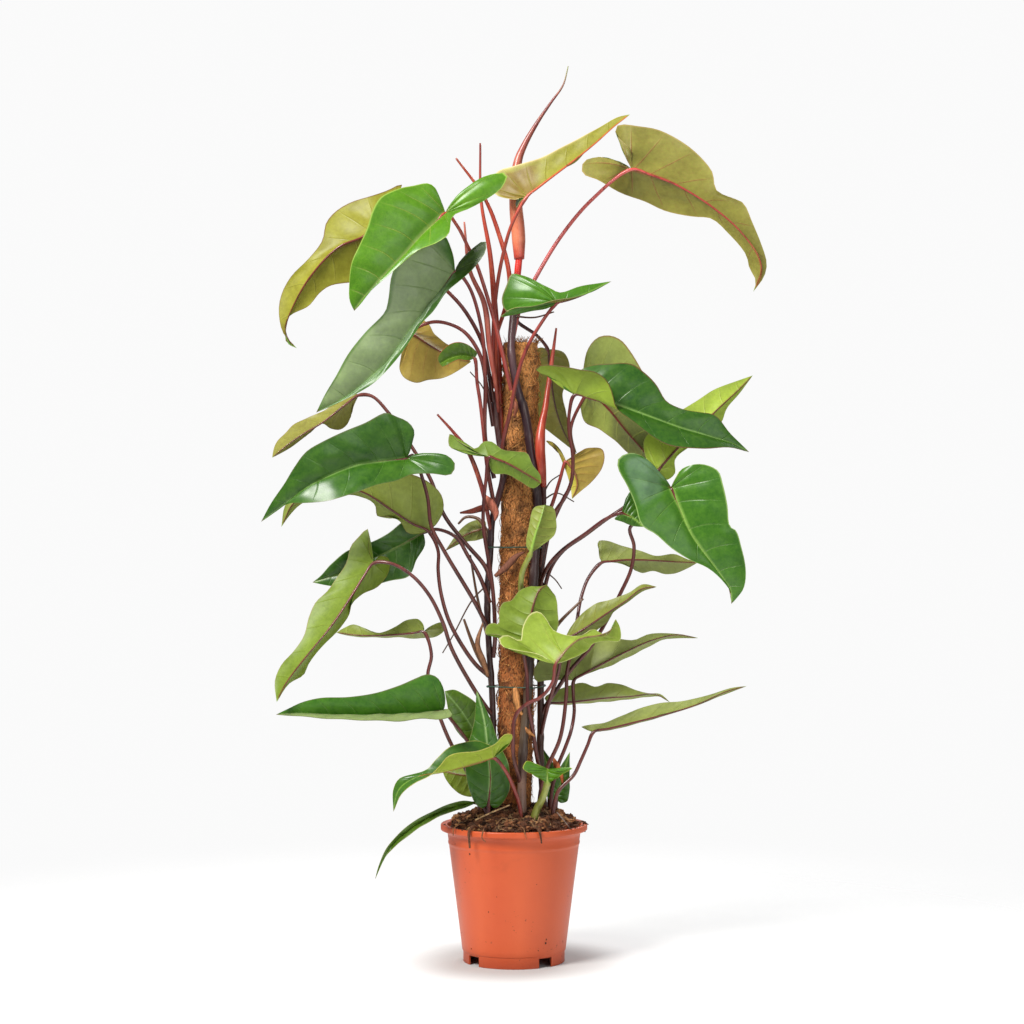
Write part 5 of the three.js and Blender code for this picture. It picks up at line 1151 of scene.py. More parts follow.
# Narrow folded leaf at the top: yellow-green underside with a cream-orange edge
leaf("leaf_02", "under",
     midrib=[(15, -45, 880), (35, -45, 896), (59, -44, 914), (89, -40, 938), (112, -36, 959),
             (133, -32, 976)],
     left=[(-2, -37, 878), (-20, -29, 884), (-28, -25, 897), (-18, -25, 912), (-2, -27, 917),
           (30, -33, 926), (62, -33, 942), (94, -32, 959), (119, -31, 973)],
     right=dict(width=37, reach=16, tilt=-100, lobe_tilt=-95),
     petiole=[(-23, -9, 663), (-24, -18, 718), (-21, -28, 767), (-13, -36, 813), (-2, -42, 850)],
     top=FRESH_GREEN, under=YELLOW_OLIVE, under_veins=CREAM_VEIN, under_rib=(208, 92, 48),
         rim=(232, 210, 150), stalk_from=RED_STALK, stalk_to=CORAL_STALK,
         zones=[((132, 104, 40), 1, "under", (-1, 0.86), (-1, 0.5)),
         ((212, 196, 128), 1, "under", (0.93, 2), (0.1, 0.8))])

# Bright glossy leaf at the upper left
leaf("leaf_03", "top",
     midrib=[(-77, -95, 855), (-101, -104, 831), (-126, -112, 802), (-152, -116, 775), (-169, -115, 756),
             (-178, -112, 744)],
     left=[(-63, -93, 872), (-47, -94, 887), (-28, -95, 898), (-8, -96, 899), (-13, -98, 884),
           (-29, -100, 871), (-51, -100, 859), (-68, -104, 851), (-73, -123, 828), (-86, -124, 818),
           (-107, -117, 811), (-127, -118, 794), (-143, -118, 780), (-159, -117, 766), (-170, -116, 752)],
     right=[(-86, -98, 868), (-87, -101, 879), (-95, -103, 887), (-114, -106, 884), (-131, -112, 879),
            (-148, -118, 870), (-157, -120, 855), (-163, -123, 835), (-171, -123, 817), (-180, -124, 797),
            (-183, -120, 774), (-183, -116, 756)],
     petiole=[(-3, -28, 660), (-18, -40, 721), (-27, -44, 754), (-43, -50, 803), (-52, -55, 821),
              (-64, -74, 843)],
     top=YOUNG_GREEN, under=SPRING, veins=LIME_VEIN, rib=(196, 214, 128), rim=(160, 190, 80),
         stalk_from=RED_STALK, stalk_to=CORAL_STALK)

# Left leaf hanging from a long stalk, yellow-olive underside with a curled dark tip
leaf("leaf_04", "under",
     midrib=[(-159, -15, 849), (-175, -16, 837), (-206, -18, 823), (-231, -14, 797), (-250, -8, 769),
             (-264, -2, 736), (-264, 0, 717), (-252, 2, 710)],
     left=[(-146, -9, 844), (-132, 0, 824), (-142, 5, 801), (-165, 4, 788), (-191, -1, 786),
           (-213, -4, 782), (-225, -3, 774), (-238, -1, 759), (-261, -3, 746), (-266, -1, 728)],
     right=[(-146, -2, 868), (-131, 20, 903), (-147, 12, 895), (-167, 7, 887), (-191, 9, 880),
            (-207, 7, 870), (-218, 1, 855), (-222, -7, 834), (-238, -6, 813), (-258, 0, 794),
            (-269, 4, 776), (-273, 4, 755), (-268, 1, 728)],
     petiole=[(-24, -11, 647), (-30, -14, 686), (-37, -18, 716), (-57, -26, 752), (-77, -30, 774),
              (-120, -26, 812)],
     top=LEAF_GREEN, under=YELLOW_OLIVE, under_veins=CREAM_VEIN, under_rib=(122, 48, 34), rim=(120, 84, 40),
         stalk_to=RED_STALK, zones=[((96, 66, 34), 0, "under", (-1, 2), (0.93, 2))])

# Large dark leaf with a painted silvery reflection over its upper part and painted shade at one half's base
leaf("leaf_05", "top",
     midrib=[(-67, -58, 793), (-84, -64, 771), (-102, -70, 747), (-121, -76, 721), (-140, -81, 693),
             (-165, -84, 669), (-192, -83, 648), (-223, -80, 632)],
     left=[(-59, -60, 806), (-47, -62, 819), (-33, -64, 828), (-32, -66, 816), (-44, -68, 798),
           (-60, -69, 783), (-77, -70, 768), (-90, -76, 748), (-105, -78, 732), (-119, -84, 710),
           (-134, -88, 689), (-155, -91, 667), (-177, -88, 653), (-204, -83, 640)],
     right=[(-71, -63, 803), (-72, -70, 821), (-79, -75, 832), (-100, -78, 826), (-124, -86, 811),
            (-137, -90, 787), (-141, -89, 760), (-145, -89, 745), (-166, -96, 722), (-185, -98, 698),
            (-200, -93, 672), (-212, -87, 653)],
     petiole=[(-23, -14, 559), (-33, -19, 604), (-33, -28, 668), (-37, -40, 729), (-52, -52, 778)],
     top=LEAF_GREEN, under=DULL_OLIVE, veins=PALE_VEIN, rib=(176, 204, 140), rim=(120, 150, 80),
         stalk_to=RED_STALK, zones=[((156, 176, 126), -1, "top", (0.06, 0.96), (0.2, 0.96)),
         ((120, 146, 110), 1, "top", (0.05, 0.6), (0.35, 0.9)),
         ((44, 70, 26), 1, "top", (-1, 2), (-1, 0.3))])

# Hanging leaf seen from below, olive-yellow with a brown midrib
leaf("leaf_06", "under",
     midrib=[(-118, -42, 725), (-102, -46, 714), (-84, -50, 703), (-66, -52, 695), (-49, -52, 691)],
     left=[(-115, -29, 735), (-107, -16, 743), (-99, -19, 737), (-90, -30, 723), (-76, -36, 712),
           (-59, -41, 703)],
     right=[(-124, -39, 714), (-129, -35, 701), (-131, -32, 683), (-126, -32, 674), (-112, -35, 668),
            (-98, -39, 671), (-81, -43, 673), (-64, -48, 681)],
     petiole=[(-24, -12, 619), (-31, -16, 661), (-39, -32, 700), (-57, -42, 726), (-79, -46, 736),
              (-97, -46, 736)],
     top=DEEP_GREEN, under=STRAW, under_veins=STRAW_VEIN, under_rib=(116, 62, 40), rim=(150, 130, 70),
         stalk_to=RED_STALK)

# Small young leaf with a red under edge
leaf("leaf_07", "top",
     midrib=[(-45, -62, 695), (-59, -66, 697), (-72, -66, 694), (-84, -64, 688)],
     left=[(-52, -71, 691), (-63, -72, 692), (-72, -73, 688), (-80, -71, 684)],
     right=[(-42, -65, 700), (-50, -69, 708), (-61, -73, 712), (-72, -72, 710), (-81, -71, 703),
            (-86, -68, 695)],
     petiole=[(-23, -13, 528), (-31, -24, 574), (-35, -36, 614), (-39, -42, 648), (-42, -50, 667)],
     top=DUSTY_GREEN, under=(178, 112, 62), rim=(190, 80, 50), stalk_to=ROSE_STALK)

# Left leaf seen from below, its lobe marked with pale veins
leaf("leaf_08", "under",
     midrib=[(-178, -30, 654), (-194, -34, 643), (-213, -38, 626), (-235, -42, 613), (-257, -45, 598),
             (-276, -46, 582)],
     left=[(-184, -28, 646), (-187, -20, 634), (-192, -15, 622), (-201, -17, 615), (-211, -27, 616),
           (-220, -38, 621), (-239, -39, 606), (-258, -41, 592)],
     right=[(-187, -19, 658), (-201, -16, 653), (-212, -22, 641), (-229, -21, 632), (-250, -19, 623),
            (-264, -24, 610), (-274, -30, 597)],
     petiole=[(-27, -7, 441), (-34, -8, 458), (-57, -9, 485), (-81, -11, 517), (-96, -14, 557),
              (-119, -18, 597), (-145, -24, 635), (-163, -28, 653)],
     top=DEEP_GREEN, under=OLIVE, under_veins=CREAM_VEIN, under_rib=(110, 52, 36), rim=(140, 110, 60),
     stalk_to=WINE_STALK)

# Large dark leaf at the far left
leaf("leaf_09", "top",
     midrib=[(-122, -78, 580), (-148, -88, 577), (-175, -97, 573), (-203, -105, 562), (-232, -109, 547),
             (-258, -106, 527), (-283, -100, 509)],
     left=[(-106, -80, 585), (-88, -84, 586), (-73, -88, 582), (-66, -90, 573), (-71, -92, 562),
           (-92, -92, 563), (-116, -92, 562), (-132, -98, 555), (-154, -107, 550), (-178, -118, 541),
           (-204, -122, 533), (-232, -116, 530), (-253, -107, 529), (-270, -103, 518)],
     right=[(-115, -85, 596), (-112, -90, 611), (-119, -93, 621), (-132, -98, 627), (-143, -104, 631),
            (-167, -108, 619), (-191, -113, 609), (-213, -118, 598), (-231, -119, 587), (-244, -119, 570),
            (-256, -114, 551), (-271, -108, 530)],
     petiole=[(-27, -5, 379), (-44, -22, 414), (-80, -46, 476), (-94, -56, 504), (-98, -62, 536),
              (-105, -66, 562), (-113, -70, 584)],
     top=DEEP_GREEN, under=DULL_OLIVE, rib=(150, 188, 108), rim=(96, 110, 52))

# Light green-olive leaf seen from below
leaf("leaf_11", "under",
     midrib=[(-98, -40, 498), (-126, -50, 512), (-157, -58, 535), (-186, -63, 547), (-222, -66, 546),
             (-248, -65, 532), (-264, -62, 503)],
     left=[(-108, -33, 495), (-122, -31, 496), (-130, -44, 509), (-140, -45, 514), (-156, -38, 515),
           (-159, -50, 529), (-177, -55, 538), (-204, -55, 539), (-230, -57, 535), (-246, -58, 526),
           (-258, -61, 512)],
     right=[(-88, -37, 507), (-81, -34, 522), (-83, -32, 539), (-92, -35, 550), (-106, -42, 559),
            (-130, -49, 566), (-164, -55, 568), (-203, -61, 563), (-237, -63, 552), (-259, -63, 529)],
     petiole=[(-28, -5, 329), (-44, -16, 344), (-60, -24, 367), (-75, -29, 396), (-84, -31, 428),
              (-87, -33, 454), (-87, -36, 476)],
     top=DEEP_GREEN, under=SAGE, under_veins=SAGE_VEIN, under_rib=(96, 36, 30), rim=(130, 110, 64))

# Dark leaf with pale veins
leaf("leaf_12", "top",
     midrib=[(-105, -12, 496), (-129, -16, 483), (-157, -20, 469), (-194, -22, 451), (-232, -22, 439)],
     left=[(-103, -15, 482), (-114, -20, 462), (-121, -25, 446), (-142, -26, 441), (-165, -27, 435),
           (-188, -26, 433), (-212, -24, 435)],
     right=[(-113, -19, 504), (-126, -27, 509), (-145, -28, 495), (-167, -31, 484), (-190, -34, 476),
            (-209, -31, 461), (-223, -24, 446)],
     petiole=[(-28, -5, 415), (-39, -10, 444), (-53, -13, 469), (-67, -16, 491), (-89, -16, 500)],
     top=SHADE_GREEN, under=GREY_SAGE, veins=PALE_VEIN, rib=(170, 196, 120), rim=(150, 170, 100))

# Bright yellow-green underside with a maroon midrib
leaf("leaf_13", "under",
     midrib=[(-159, -70, 462), (-174, -75, 441), (-190, -82, 414), (-209, -88, 387), (-228, -92, 364),
             (-244, -94, 344), (-258, -95, 324), (-266, -95, 307)],
     left=[(-152, -47, 470), (-143, -34, 465), (-144, -28, 450), (-156, -36, 435), (-173, -59, 426),
           (-184, -72, 416), (-187, -64, 403), (-195, -65, 391), (-213, -77, 372), (-231, -79, 350),
           (-238, -74, 336), (-254, -90, 326)],
     right=[(-165, -56, 478), (-168, -38, 501), (-178, -42, 491), (-186, -44, 481), (-191, -53, 462),
            (-201, -57, 446), (-211, -60, 431), (-225, -61, 418), (-232, -67, 401), (-237, -76, 381),
            (-249, -81, 362), (-262, -81, 348), (-269, -84, 331)],
     petiole=[(-25, -5, 284), (-44, -22, 313), (-71, -48, 364), (-81, -60, 395), (-96, -70, 426),
              (-116, -76, 449), (-139, -76, 462)],
     top=DEEP_GREEN, under=MOSS, under_veins=MOSS_VEIN, under_rib=(112, 36, 32), rim=(140, 130, 60))

# Leaf seen nearly edge-on, green-olive
leaf("leaf_14", "under",
     midrib=[(-104, -20, 382), (-129, -13, 379), (-157, -7, 377), (-182, -3, 377), (-206, 0, 380)],
     left=[(-93, -14, 388), (-84, -10, 393), (-79, -6, 390), (-81, -2, 382), (-93, 4, 375),
           (-109, 8, 373), (-133, 10, 374), (-165, 12, 374), (-191, 6, 376)],
     right=[(-105, -13, 390), (-111, -5, 396), (-123, -1, 395), (-136, -3, 388), (-148, -5, 382),
            (-159, -4, 380), (-173, 3, 385), (-187, 8, 389), (-198, 5, 385)],
     petiole=[(-38, -12, 146), (-38, -12, 167), (-43, -15, 193), (-55, -22, 223), (-72, -27, 253),
              (-85, -29, 284), (-94, -28, 310), (-99, -26, 333), (-95, -24, 356)],
     top=DEEP_GREEN, under=SAGE, under_veins=SAGE_VEIN, under_rib=(110, 44, 36), rim=(150, 160, 84))

# Dark leaf whose lower edge rolls under and shows its pale back
leaf("leaf_15", "top",
     midrib=[(-81, -60, 294), (-109, -66, 292), (-140, -72, 291), (-179, -77, 291), (-219, -78, 292),
             (-244, -76, 293), (-269, -72, 291)],
     left=[(-72, -94, 295), (-69, -110, 292), (-85, -96, 288), (-105, -94, 288), (-132, -101, 286),
           (-163, -99, 287), (-197, -99, 288), (-229, -93, 290), (-251, -86, 291)],
     right=[(-78, -64, 306), (-80, -70, 321), (-88, -75, 334), (-98, -79, 337), (-112, -80, 332),
            (-131, -82, 324), (-153, -83, 317), (-184, -85, 312), (-216, -85, 311), (-238, -81, 306),
            (-255, -76, 298)],
     petiole=[(-29, -22, 147), (-29, -22, 168), (-35, -18, 211), (-44, -20, 238), (-56, -32, 261),
              (-70, -48, 281)],
     top=FRESH_GREEN, under=PALE_SAGE, veins=PALE_VEIN, rib=(140, 180, 100), rim=(110, 120, 60),
     zones=[((152, 166, 112), 1, "top", (0.12, 2), (-1, 2))])

# Folded leaf by the pot: bright underside over a dark top, on a pink-red stalk
leaf("leaf_16", "top",
     midrib=[(-23, -62, 241), (-45, -70, 235), (-70, -78, 229), (-91, -82, 225), (-113, -84, 220),
             (-129, -82, 208), (-136, -78, 182)],
     left=[(-12, -74, 251), (-3, -80, 262), (-2, -86, 269), (-11, -92, 270), (-22, -98, 260),
           (-38, -103, 253), (-57, -106, 252), (-73, -107, 247), (-84, -104, 236), (-95, -98, 224),
           (-112, -94, 216), (-127, -88, 202)],
     right=[(-18, -58, 251), (-30, -58, 256), (-44, -60, 260), (-61, -64, 258), (-76, -70, 252),
            (-87, -74, 242), (-98, -78, 230), (-115, -80, 224), (-130, -80, 219), (-136, -78, 207)],
     petiole=[(8, -40, 150), (8, -40, 163), (7, -42, 182), (-1, -50, 207), (-11, -58, 228)],
     top=LEAF_GREEN, under=LIME, under_veins=LIME_VEIN, under_rib=(150, 110, 50), rim=(190, 180, 90),
         stalk_from=(118, 44, 38), stalk_to=ROSE_STALK)

# Small upright dark leaf
leaf("leaf_17", "top",
     midrib=[(-29, -38, 187), (-27, -40, 217), (-30, -38, 248), (-34, -32, 281), (-43, -26, 315)],
     left=[(-36, -36, 181), (-45, -34, 187), (-50, -33, 199), (-55, -33, 217), (-55, -32, 236),
           (-52, -31, 256), (-46, -30, 277), (-44, -28, 297)],
     right=[(-22, -36, 181), (-13, -34, 187), (-6, -33, 200), (-5, -34, 219), (-8, -34, 236),
            (-17, -34, 254), (-25, -31, 277), (-34, -28, 297)],
     petiole=[(-29, -38, 149), (-29, -38, 165), (-29, -38, 177)],
     top=DEEP_GREEN, under=SAGE, rib=(170, 200, 130))

# Small round leaf seen from below
leaf("leaf_18", "under",
     midrib=[(-32, -2, 217), (-58, -3, 215), (-83, -4, 220)],
     left=[(-37, 2, 204), (-45, 7, 190), (-58, 6, 190), (-70, 3, 198), (-79, -1, 210)],
     right=[(-37, 9, 226), (-51, 17, 231), (-68, 12, 229)],
     petiole=[(-34, 2, 144), (-34, 2, 165), (-31, 1, 192)],
     top=LEAF_GREEN, under=SPRING, under_veins=SPRING_VEIN, under_rib=(140, 90, 50))

# Small dark glossy leaf
leaf("leaf_19", "top",
     midrib=[(-37, -9, 248), (-51, -10, 275), (-65, -12, 296), (-80, -12, 313)],
     left=[(-45, -12, 249), (-59, -15, 259), (-69, -17, 272), (-75, -17, 288), (-78, -14, 302)],
     right=[(-32, -13, 260), (-35, -16, 282), (-44, -18, 300), (-58, -17, 310), (-69, -15, 315)],
     petiole=[(-30, 12, 143), (-30, 12, 164), (-30, 8, 214)],
     top=DUSTY_GREEN, under=DULL_OLIVE, rib=(150, 180, 120))

# Narrow dark leaf over the rim
leaf("leaf_20", "top",
     midrib=[(-44, -29, 186), (-67, -42, 183), (-95, -56, 173), (-123, -68, 156), (-140, -76, 141),
             (-150, -78, 124), (-157, -76, 105)],
     left=[(-57, -46, 182), (-75, -57, 178), (-95, -68, 170), (-115, -76, 158), (-132, -82, 145),
           (-143, -79, 134), (-151, -80, 119)],
     right=[(-57, -40, 190), (-75, -50, 187), (-95, -60, 179), (-115, -69, 169), (-133, -76, 154),
            (-145, -80, 139), (-153, -79, 120)],
     petiole=[(-30, -31, 148), (-30, -31, 162), (-34, -30, 180)],
     top=DUSTY_GREEN, under=DULL_OLIVE, rib=(130, 150, 80))

# Glossy leaf above the pole that turns its tip over
leaf("leaf_21", "top",
     midrib=[(49, -64, 757), (67, -62, 762), (84, -58, 769), (99, -53, 777), (111, -48, 783)],
     left=[(27, -57, 753), (7, -51, 751), (-10, -46, 750), (-14, -45, 762), (-9, -45, 777),
           (-3, -45, 792), (7, -48, 790), (25, -53, 783), (41, -58, 774), (52, -60, 769), (73, -57, 776),
           (94, -52, 780)],
     right=[(35, -66, 750), (12, -70, 746), (-16, -72, 740), (0, -78, 750), (24, -78, 752),
            (43, -74, 759), (63, -68, 762), (86, -58, 769)],
     petiole=[(-13, -23, 560), (-14, -29, 571), (-13, -33, 596), (-3, -40, 640), (2, -46, 667),
              (10, -52, 695), (23, -60, 722)],
     top=BRIGHT_GREEN, under=OLIVE, veins=PALE_VEIN, rim=(150, 150, 90), stalk_to=ROSE_STALK)

# Dark olive leaf behind the pole top
leaf("leaf_22", "under",
     midrib=[(40, 42, 711), (44, 62, 679), (50, 82, 644), (61, 102, 614), (76, 117, 591)],
     left=[(52, 46, 711), (60, 52, 707), (66, 61, 695), (64, 71, 677), (58, 77, 661), (62, 89, 642),
           (66, 99, 623), (72, 111, 604)],
     right=[(31, 45, 714), (22, 48, 708), (20, 63, 686), (20, 79, 660), (25, 93, 631), (42, 101, 617),
            (60, 108, 603)],
     petiole=[(-3, -8, 749), (6, 12, 740), (28, 30, 726)],
     top=SHADE_GREEN, under=OLIVE, under_veins=CREAM_VEIN, under_rib=(86, 48, 36))

# Broad dark leaf at the right whose front lobe turns up lime green
leaf("leaf_23", "top",
     midrib=[(69, -60, 653), (93, -64, 647), (115, -68, 641), (148, -71, 630), (185, -72, 616),
             (222, -70, 605), (245, -66, 598), (267, -60, 588)],
     left=[(72, -58, 665), (75, -56, 680), (89, -56, 687), (111, -59, 688), (134, -60, 688),
           (150, -63, 676), (162, -66, 663), (173, -68, 645), (188, -69, 637), (211, -67, 633),
           (228, -66, 629), (246, -65, 608)],
     right=[(52, -64, 662), (37, -68, 674), (24, -72, 680), (30, -77, 686), (50, -84, 684),
            (72, -91, 680), (92, -95, 677), (104, -94, 667), (110, -89, 654), (116, -82, 637),
            (134, -86, 622), (155, -92, 605), (177, -96, 594), (209, -94, 591), (241, -80, 593)],
     petiole=[(30, 6, 457), (37, -11, 499), (44, -19, 515), (59, -30, 538), (66, -38, 557),
              (67, -45, 585), (63, -50, 611), (63, -56, 634)],
     top=SHADE_GREEN, under=SPRING, under_veins=SPRING_VEIN, rib=(158, 198, 110), rim=(110, 74, 44))

# Yellow-green lobe over a grey-olive lower part, seen from below
leaf("leaf_24", "under",
     midrib=[(88, 4, 659), (105, 3, 645), (125, 1, 620), (151, 0, 590), (179, 0, 559)],
     left=[(81, 6, 673), (81, 9, 690), (86, 11, 709), (97, 13, 723), (110, 14, 726), (124, 14, 721),
           (136, 14, 707), (149, 12, 685), (161, 9, 660), (170, 6, 629), (177, 3, 594)],
     right=[(80, 13, 654), (78, 23, 642), (83, 30, 626), (101, 22, 616), (117, 17, 604), (133, 14, 589),
            (156, 8, 571)],
     petiole=[(31, 7, 444), (42, 12, 499), (57, 14, 534), (69, 14, 557), (70, 13, 586), (66, 12, 616),
              (75, 10, 641)],
     top=DEEP_GREEN, under=PALE_SAGE, under_veins=LIME_VEIN, under_rib=(112, 42, 36), rim=(150, 120, 70),
         stalk_to=BROWN_STALK, zones=[((112, 124, 72), 0, "under", (-1, 2), (0.5, 2))])

# Lime green underside with a maroon-brown midrib
leaf("leaf_25", "under",
     midrib=[(166, -25, 568), (188, -20, 593), (211, -14, 615), (236, -7, 639), (258, 2, 659),
             (278, 10, 679)],
     left=[(156, -23, 576), (150, -19, 590), (151, -15, 605), (166, -13, 619), (186, -9, 633),
           (212, -4, 649), (232, 0, 662), (258, 6, 672)],
     right=[(176, -12, 557), (186, -8, 565), (186, -16, 581), (201, -11, 594), (223, -3, 608),
            (240, 4, 623), (247, 2, 640), (263, 6, 659)],
     petiole=[(31, 9, 409), (42, 8, 453), (57, 4, 475), (82, -2, 493), (106, -8, 511), (129, -14, 527),
              (147, -20, 545)],
     top=DEEP_GREEN, under=LIME, under_veins=LIME_VEIN, under_rib=(104, 44, 34), rim=(170, 180, 90))

# Large glossy leaf at the lower right, with a pale patch of painted sheen on the lobe seen at the left
leaf("leaf_26", "top",
     midrib=[(177, -78, 547), (188, -82, 520), (199, -84, 495), (215, -83, 472), (231, -79, 451),
             (244, -73, 432), (246, -68, 416)],
     left=[(184, -81, 557), (187, -84, 567), (200, -88, 573), (215, -91, 573), (229, -94, 566),
           (234, -96, 551), (239, -97, 528), (242, -95, 504), (249, -95, 499), (255, -91, 481),
           (261, -83, 455), (259, -77, 434), (252, -72, 423)],
     right=[(168, -83, 559), (155, -89, 574), (142, -94, 583), (129, -98, 586), (117, -100, 580),
            (116, -99, 570), (127, -94, 549), (136, -93, 528), (143, -97, 505), (159, -95, 495),
            (177, -93, 479), (198, -89, 466), (218, -83, 457), (235, -77, 443), (246, -72, 427)],
     petiole=[(30, 9, 274), (34, 8, 289), (48, 4, 311), (65, -1, 336), (88, -6, 363), (108, -8, 396),
              (122, -11, 424), (135, -17, 454), (138, -25, 481), (133, -33, 502), (150, -42, 514),
              (170, -58, 530)],
     top=FRESH_GREEN, under=PALE_SAGE, veins=PALE_VEIN, rib=(168, 206, 104), rim=(150, 180, 100),
     zones=[((104, 146, 104), -1, "top", (0.25, 0.85), (0.1, 0.45))])

# Small dark leaf at the back right
leaf("leaf_27", "top",
     midrib=[(123, -46, 519), (136, -48, 513), (148, -50, 503)],
     left=[(126, -44, 530), (133, -41, 543), (140, -44, 529), (146, -48, 513)],
     right=[(115, -44, 512), (123, -45, 509), (136, -47, 504)],
     petiole=[(30, 6, 427), (32, 1, 441), (40, -7, 458), (56, -17, 476), (82, -29, 495), (105, -39, 512)],
     top=SHADE_GREEN, under=DULL_OLIVE)

# Olive leaf with a green strip along its top edge
leaf("leaf_28", "under",
     midrib=[(102, 10, 461), (126, 9, 464), (156, 8, 464), (187, 9, 462), (214, 12, 461)],
     left=[(100, 18, 473), (99, 25, 486), (110, 24, 486), (128, 19, 480), (147, 15, 475), (165, 12, 469),
           (187, 14, 471), (202, 13, 465)],
     right=[(119, 11, 462), (133, 16, 457), (149, 25, 449), (164, 22, 451), (179, 25, 447),
            (196, 21, 451)],
     petiole=[(28, -19, 147), (28, -19, 167), (31, -20, 200), (38, -22, 225), (53, -25, 260),
              (60, -27, 309), (61, -24, 336), (68, -15, 367), (73, -8, 395), (78, 0, 421), (87, 7, 444)],
     top=LEAF_GREEN, under=GREY_SAGE, under_veins=SAGE_VEIN)

# Small olive underside
leaf("leaf_29", "under",
     midrib=[(59, -42, 374), (81, -42, 387), (105, -38, 403), (128, -35, 418), (147, -32, 432),
             (164, -30, 434)],
     left=[(61, -36, 381), (68, -32, 392), (78, -27, 403), (93, -24, 414), (113, -27, 420),
           (133, -29, 428), (148, -27, 437)],
     right=[(71, -34, 371), (91, -32, 382), (107, -30, 394), (113, -34, 404), (131, -33, 417),
            (148, -29, 429)],
     petiole=[(31, 10, 253), (33, 3, 269), (40, -12, 299), (51, -28, 336), (54, -36, 356)],
     top=DEEP_GREEN, under=DULL_OLIVE, under_rib=(104, 44, 36))

# Greener underside, low at the right
leaf("leaf_30", "under",
     midrib=[(70, 12, 324), (91, 10, 337), (114, 8, 349), (142, 8, 363), (168, 10, 373), (191, 13, 377),
             (215, 15, 373)],
     left=[(54, 9, 333), (36, 4, 327), (26, -2, 323), (23, -3, 335), (29, 0, 347), (49, 8, 358),
           (77, 22, 367), (112, 16, 373), (140, 11, 371), (158, 12, 378), (189, 13, 378)],
     right=[(89, 15, 333), (110, 24, 339), (129, 23, 348), (153, 23, 360), (175, 19, 371)],
     petiole=[(42, -8, 145), (42, -8, 166), (44, -9, 199), (51, -9, 227), (59, -9, 247), (66, -9, 267),
              (70, 3, 289), (69, 10, 308)],
     top=SHADE_GREEN, under=GREY_SAGE, under_veins=SAGE_VEIN, under_rib=(104, 42, 36), stalk_to=WINE_STALK)

# Bright new leaf, curled, with a cream edge
leaf("leaf_31", "under",
     midrib=[(47, -72, 348), (60, -68, 365), (75, -61, 376), (91, -56, 379), (105, -52, 380),
             (116, -50, 398)],
     left=[(29, -67, 358), (7, -61, 363), (-14, -55, 368), (-17, -54, 377), (-7, -56, 380), (7, -60, 374),
           (10, -55, 390), (18, -53, 404), (28, -54, 407), (35, -56, 400), (45, -61, 386), (61, -61, 380),
           (77, -59, 380), (90, -54, 387), (102, -52, 381), (112, -51, 388)],
     right=[(66, -64, 354), (84, -52, 363), (90, -53, 370), (105, -49, 373), (121, -43, 373),
            (121, -46, 388)],
     petiole=[(8, -26, 205), (5, -33, 219), (0, -39, 237), (-1, -45, 262), (2, -49, 288), (14, -53, 301),
              (31, -59, 310), (44, -67, 328)],
     top=BRIGHT_GREEN, under=SPRING, veins=LIME_VEIN, under_veins=LIME_VEIN, under_rib=(150, 120, 76),
         rim=(220, 218, 150), stalk_to=BROWN_STALK)

# Green leaf low in front with a maroon midrib
leaf("leaf_32", "under",
     midrib=[(14, -53, 368), (18, -50, 395), (23, -47, 417), (29, -44, 431), (37, -42, 437)],
     left=[(1, -49, 372), (-16, -44, 380), (-33, -40, 381), (-31, -39, 390), (-25, -40, 393),
           (-18, -42, 392), (-17, -40, 407), (-13, -39, 416), (-3, -41, 419), (6, -41, 430),
           (18, -41, 435), (30, -43, 435)],
     right=[(25, -50, 367), (41, -45, 374), (50, -42, 387), (50, -40, 407), (48, -37, 422),
            (42, -40, 431)],
     petiole=[(31, 6, 212), (30, -4, 223), (27, -14, 235), (21, -29, 273), (16, -34, 301), (15, -37, 333),
              (11, -46, 363)],
     top=LEAF_GREEN, under=MOSS, under_veins=MOSS_VEIN, under_rib=(112, 40, 34))

# Young lime stalk with a narrow darker blade
leaf("leaf_33", "under", thick=1.5,
     midrib=[(19, -49, 473), (24, -51, 493), (30, -51, 511), (35, -48, 528)],
     left=[(14, -47, 482), (17, -47, 504), (23, -45, 525)],
     right=[(32, -45, 482), (47, -40, 495), (48, -41, 513), (45, -43, 525)],
     petiole=[(21, -20, 393), (13, -27, 412), (8, -31, 431), (10, -41, 453)],
     top=LEAF_GREEN, under=SAGE, under_rib=(150, 186, 76), stalk_from=LIME_STALK, stalk_to=LIME_STALK,
         stripe=(190, 206, 110))

# Light green underside, torn at its left end
leaf("leaf_34", "under",
     midrib=[(-28, -56, 583), (-9, -57, 576), (11, -55, 565), (31, -50, 553)],
     left=[(-42, -52, 587), (-57, -47, 591), (-74, -42, 595), (-73, -40, 610), (-63, -44, 601),
           (-50, -49, 593), (-42, -51, 593), (-35, -50, 600), (-25, -51, 600), (-13, -53, 591),
           (2, -51, 589), (15, -49, 587), (21, -51, 574), (30, -49, 562)],
     right=[(-28, -52, 574), (-23, -49, 564), (-8, -51, 563), (7, -49, 555), (22, -46, 547)],
     petiole=[(-24, -5, 352), (-22, -12, 372), (-23, -20, 412), (-26, -26, 444), (-35, -36, 503),
              (-35, -42, 525), (-32, -50, 556)],
     top=SHADE_GREEN, under=GRASS, under_veins=MOSS_VEIN, under_rib=(120, 56, 42))

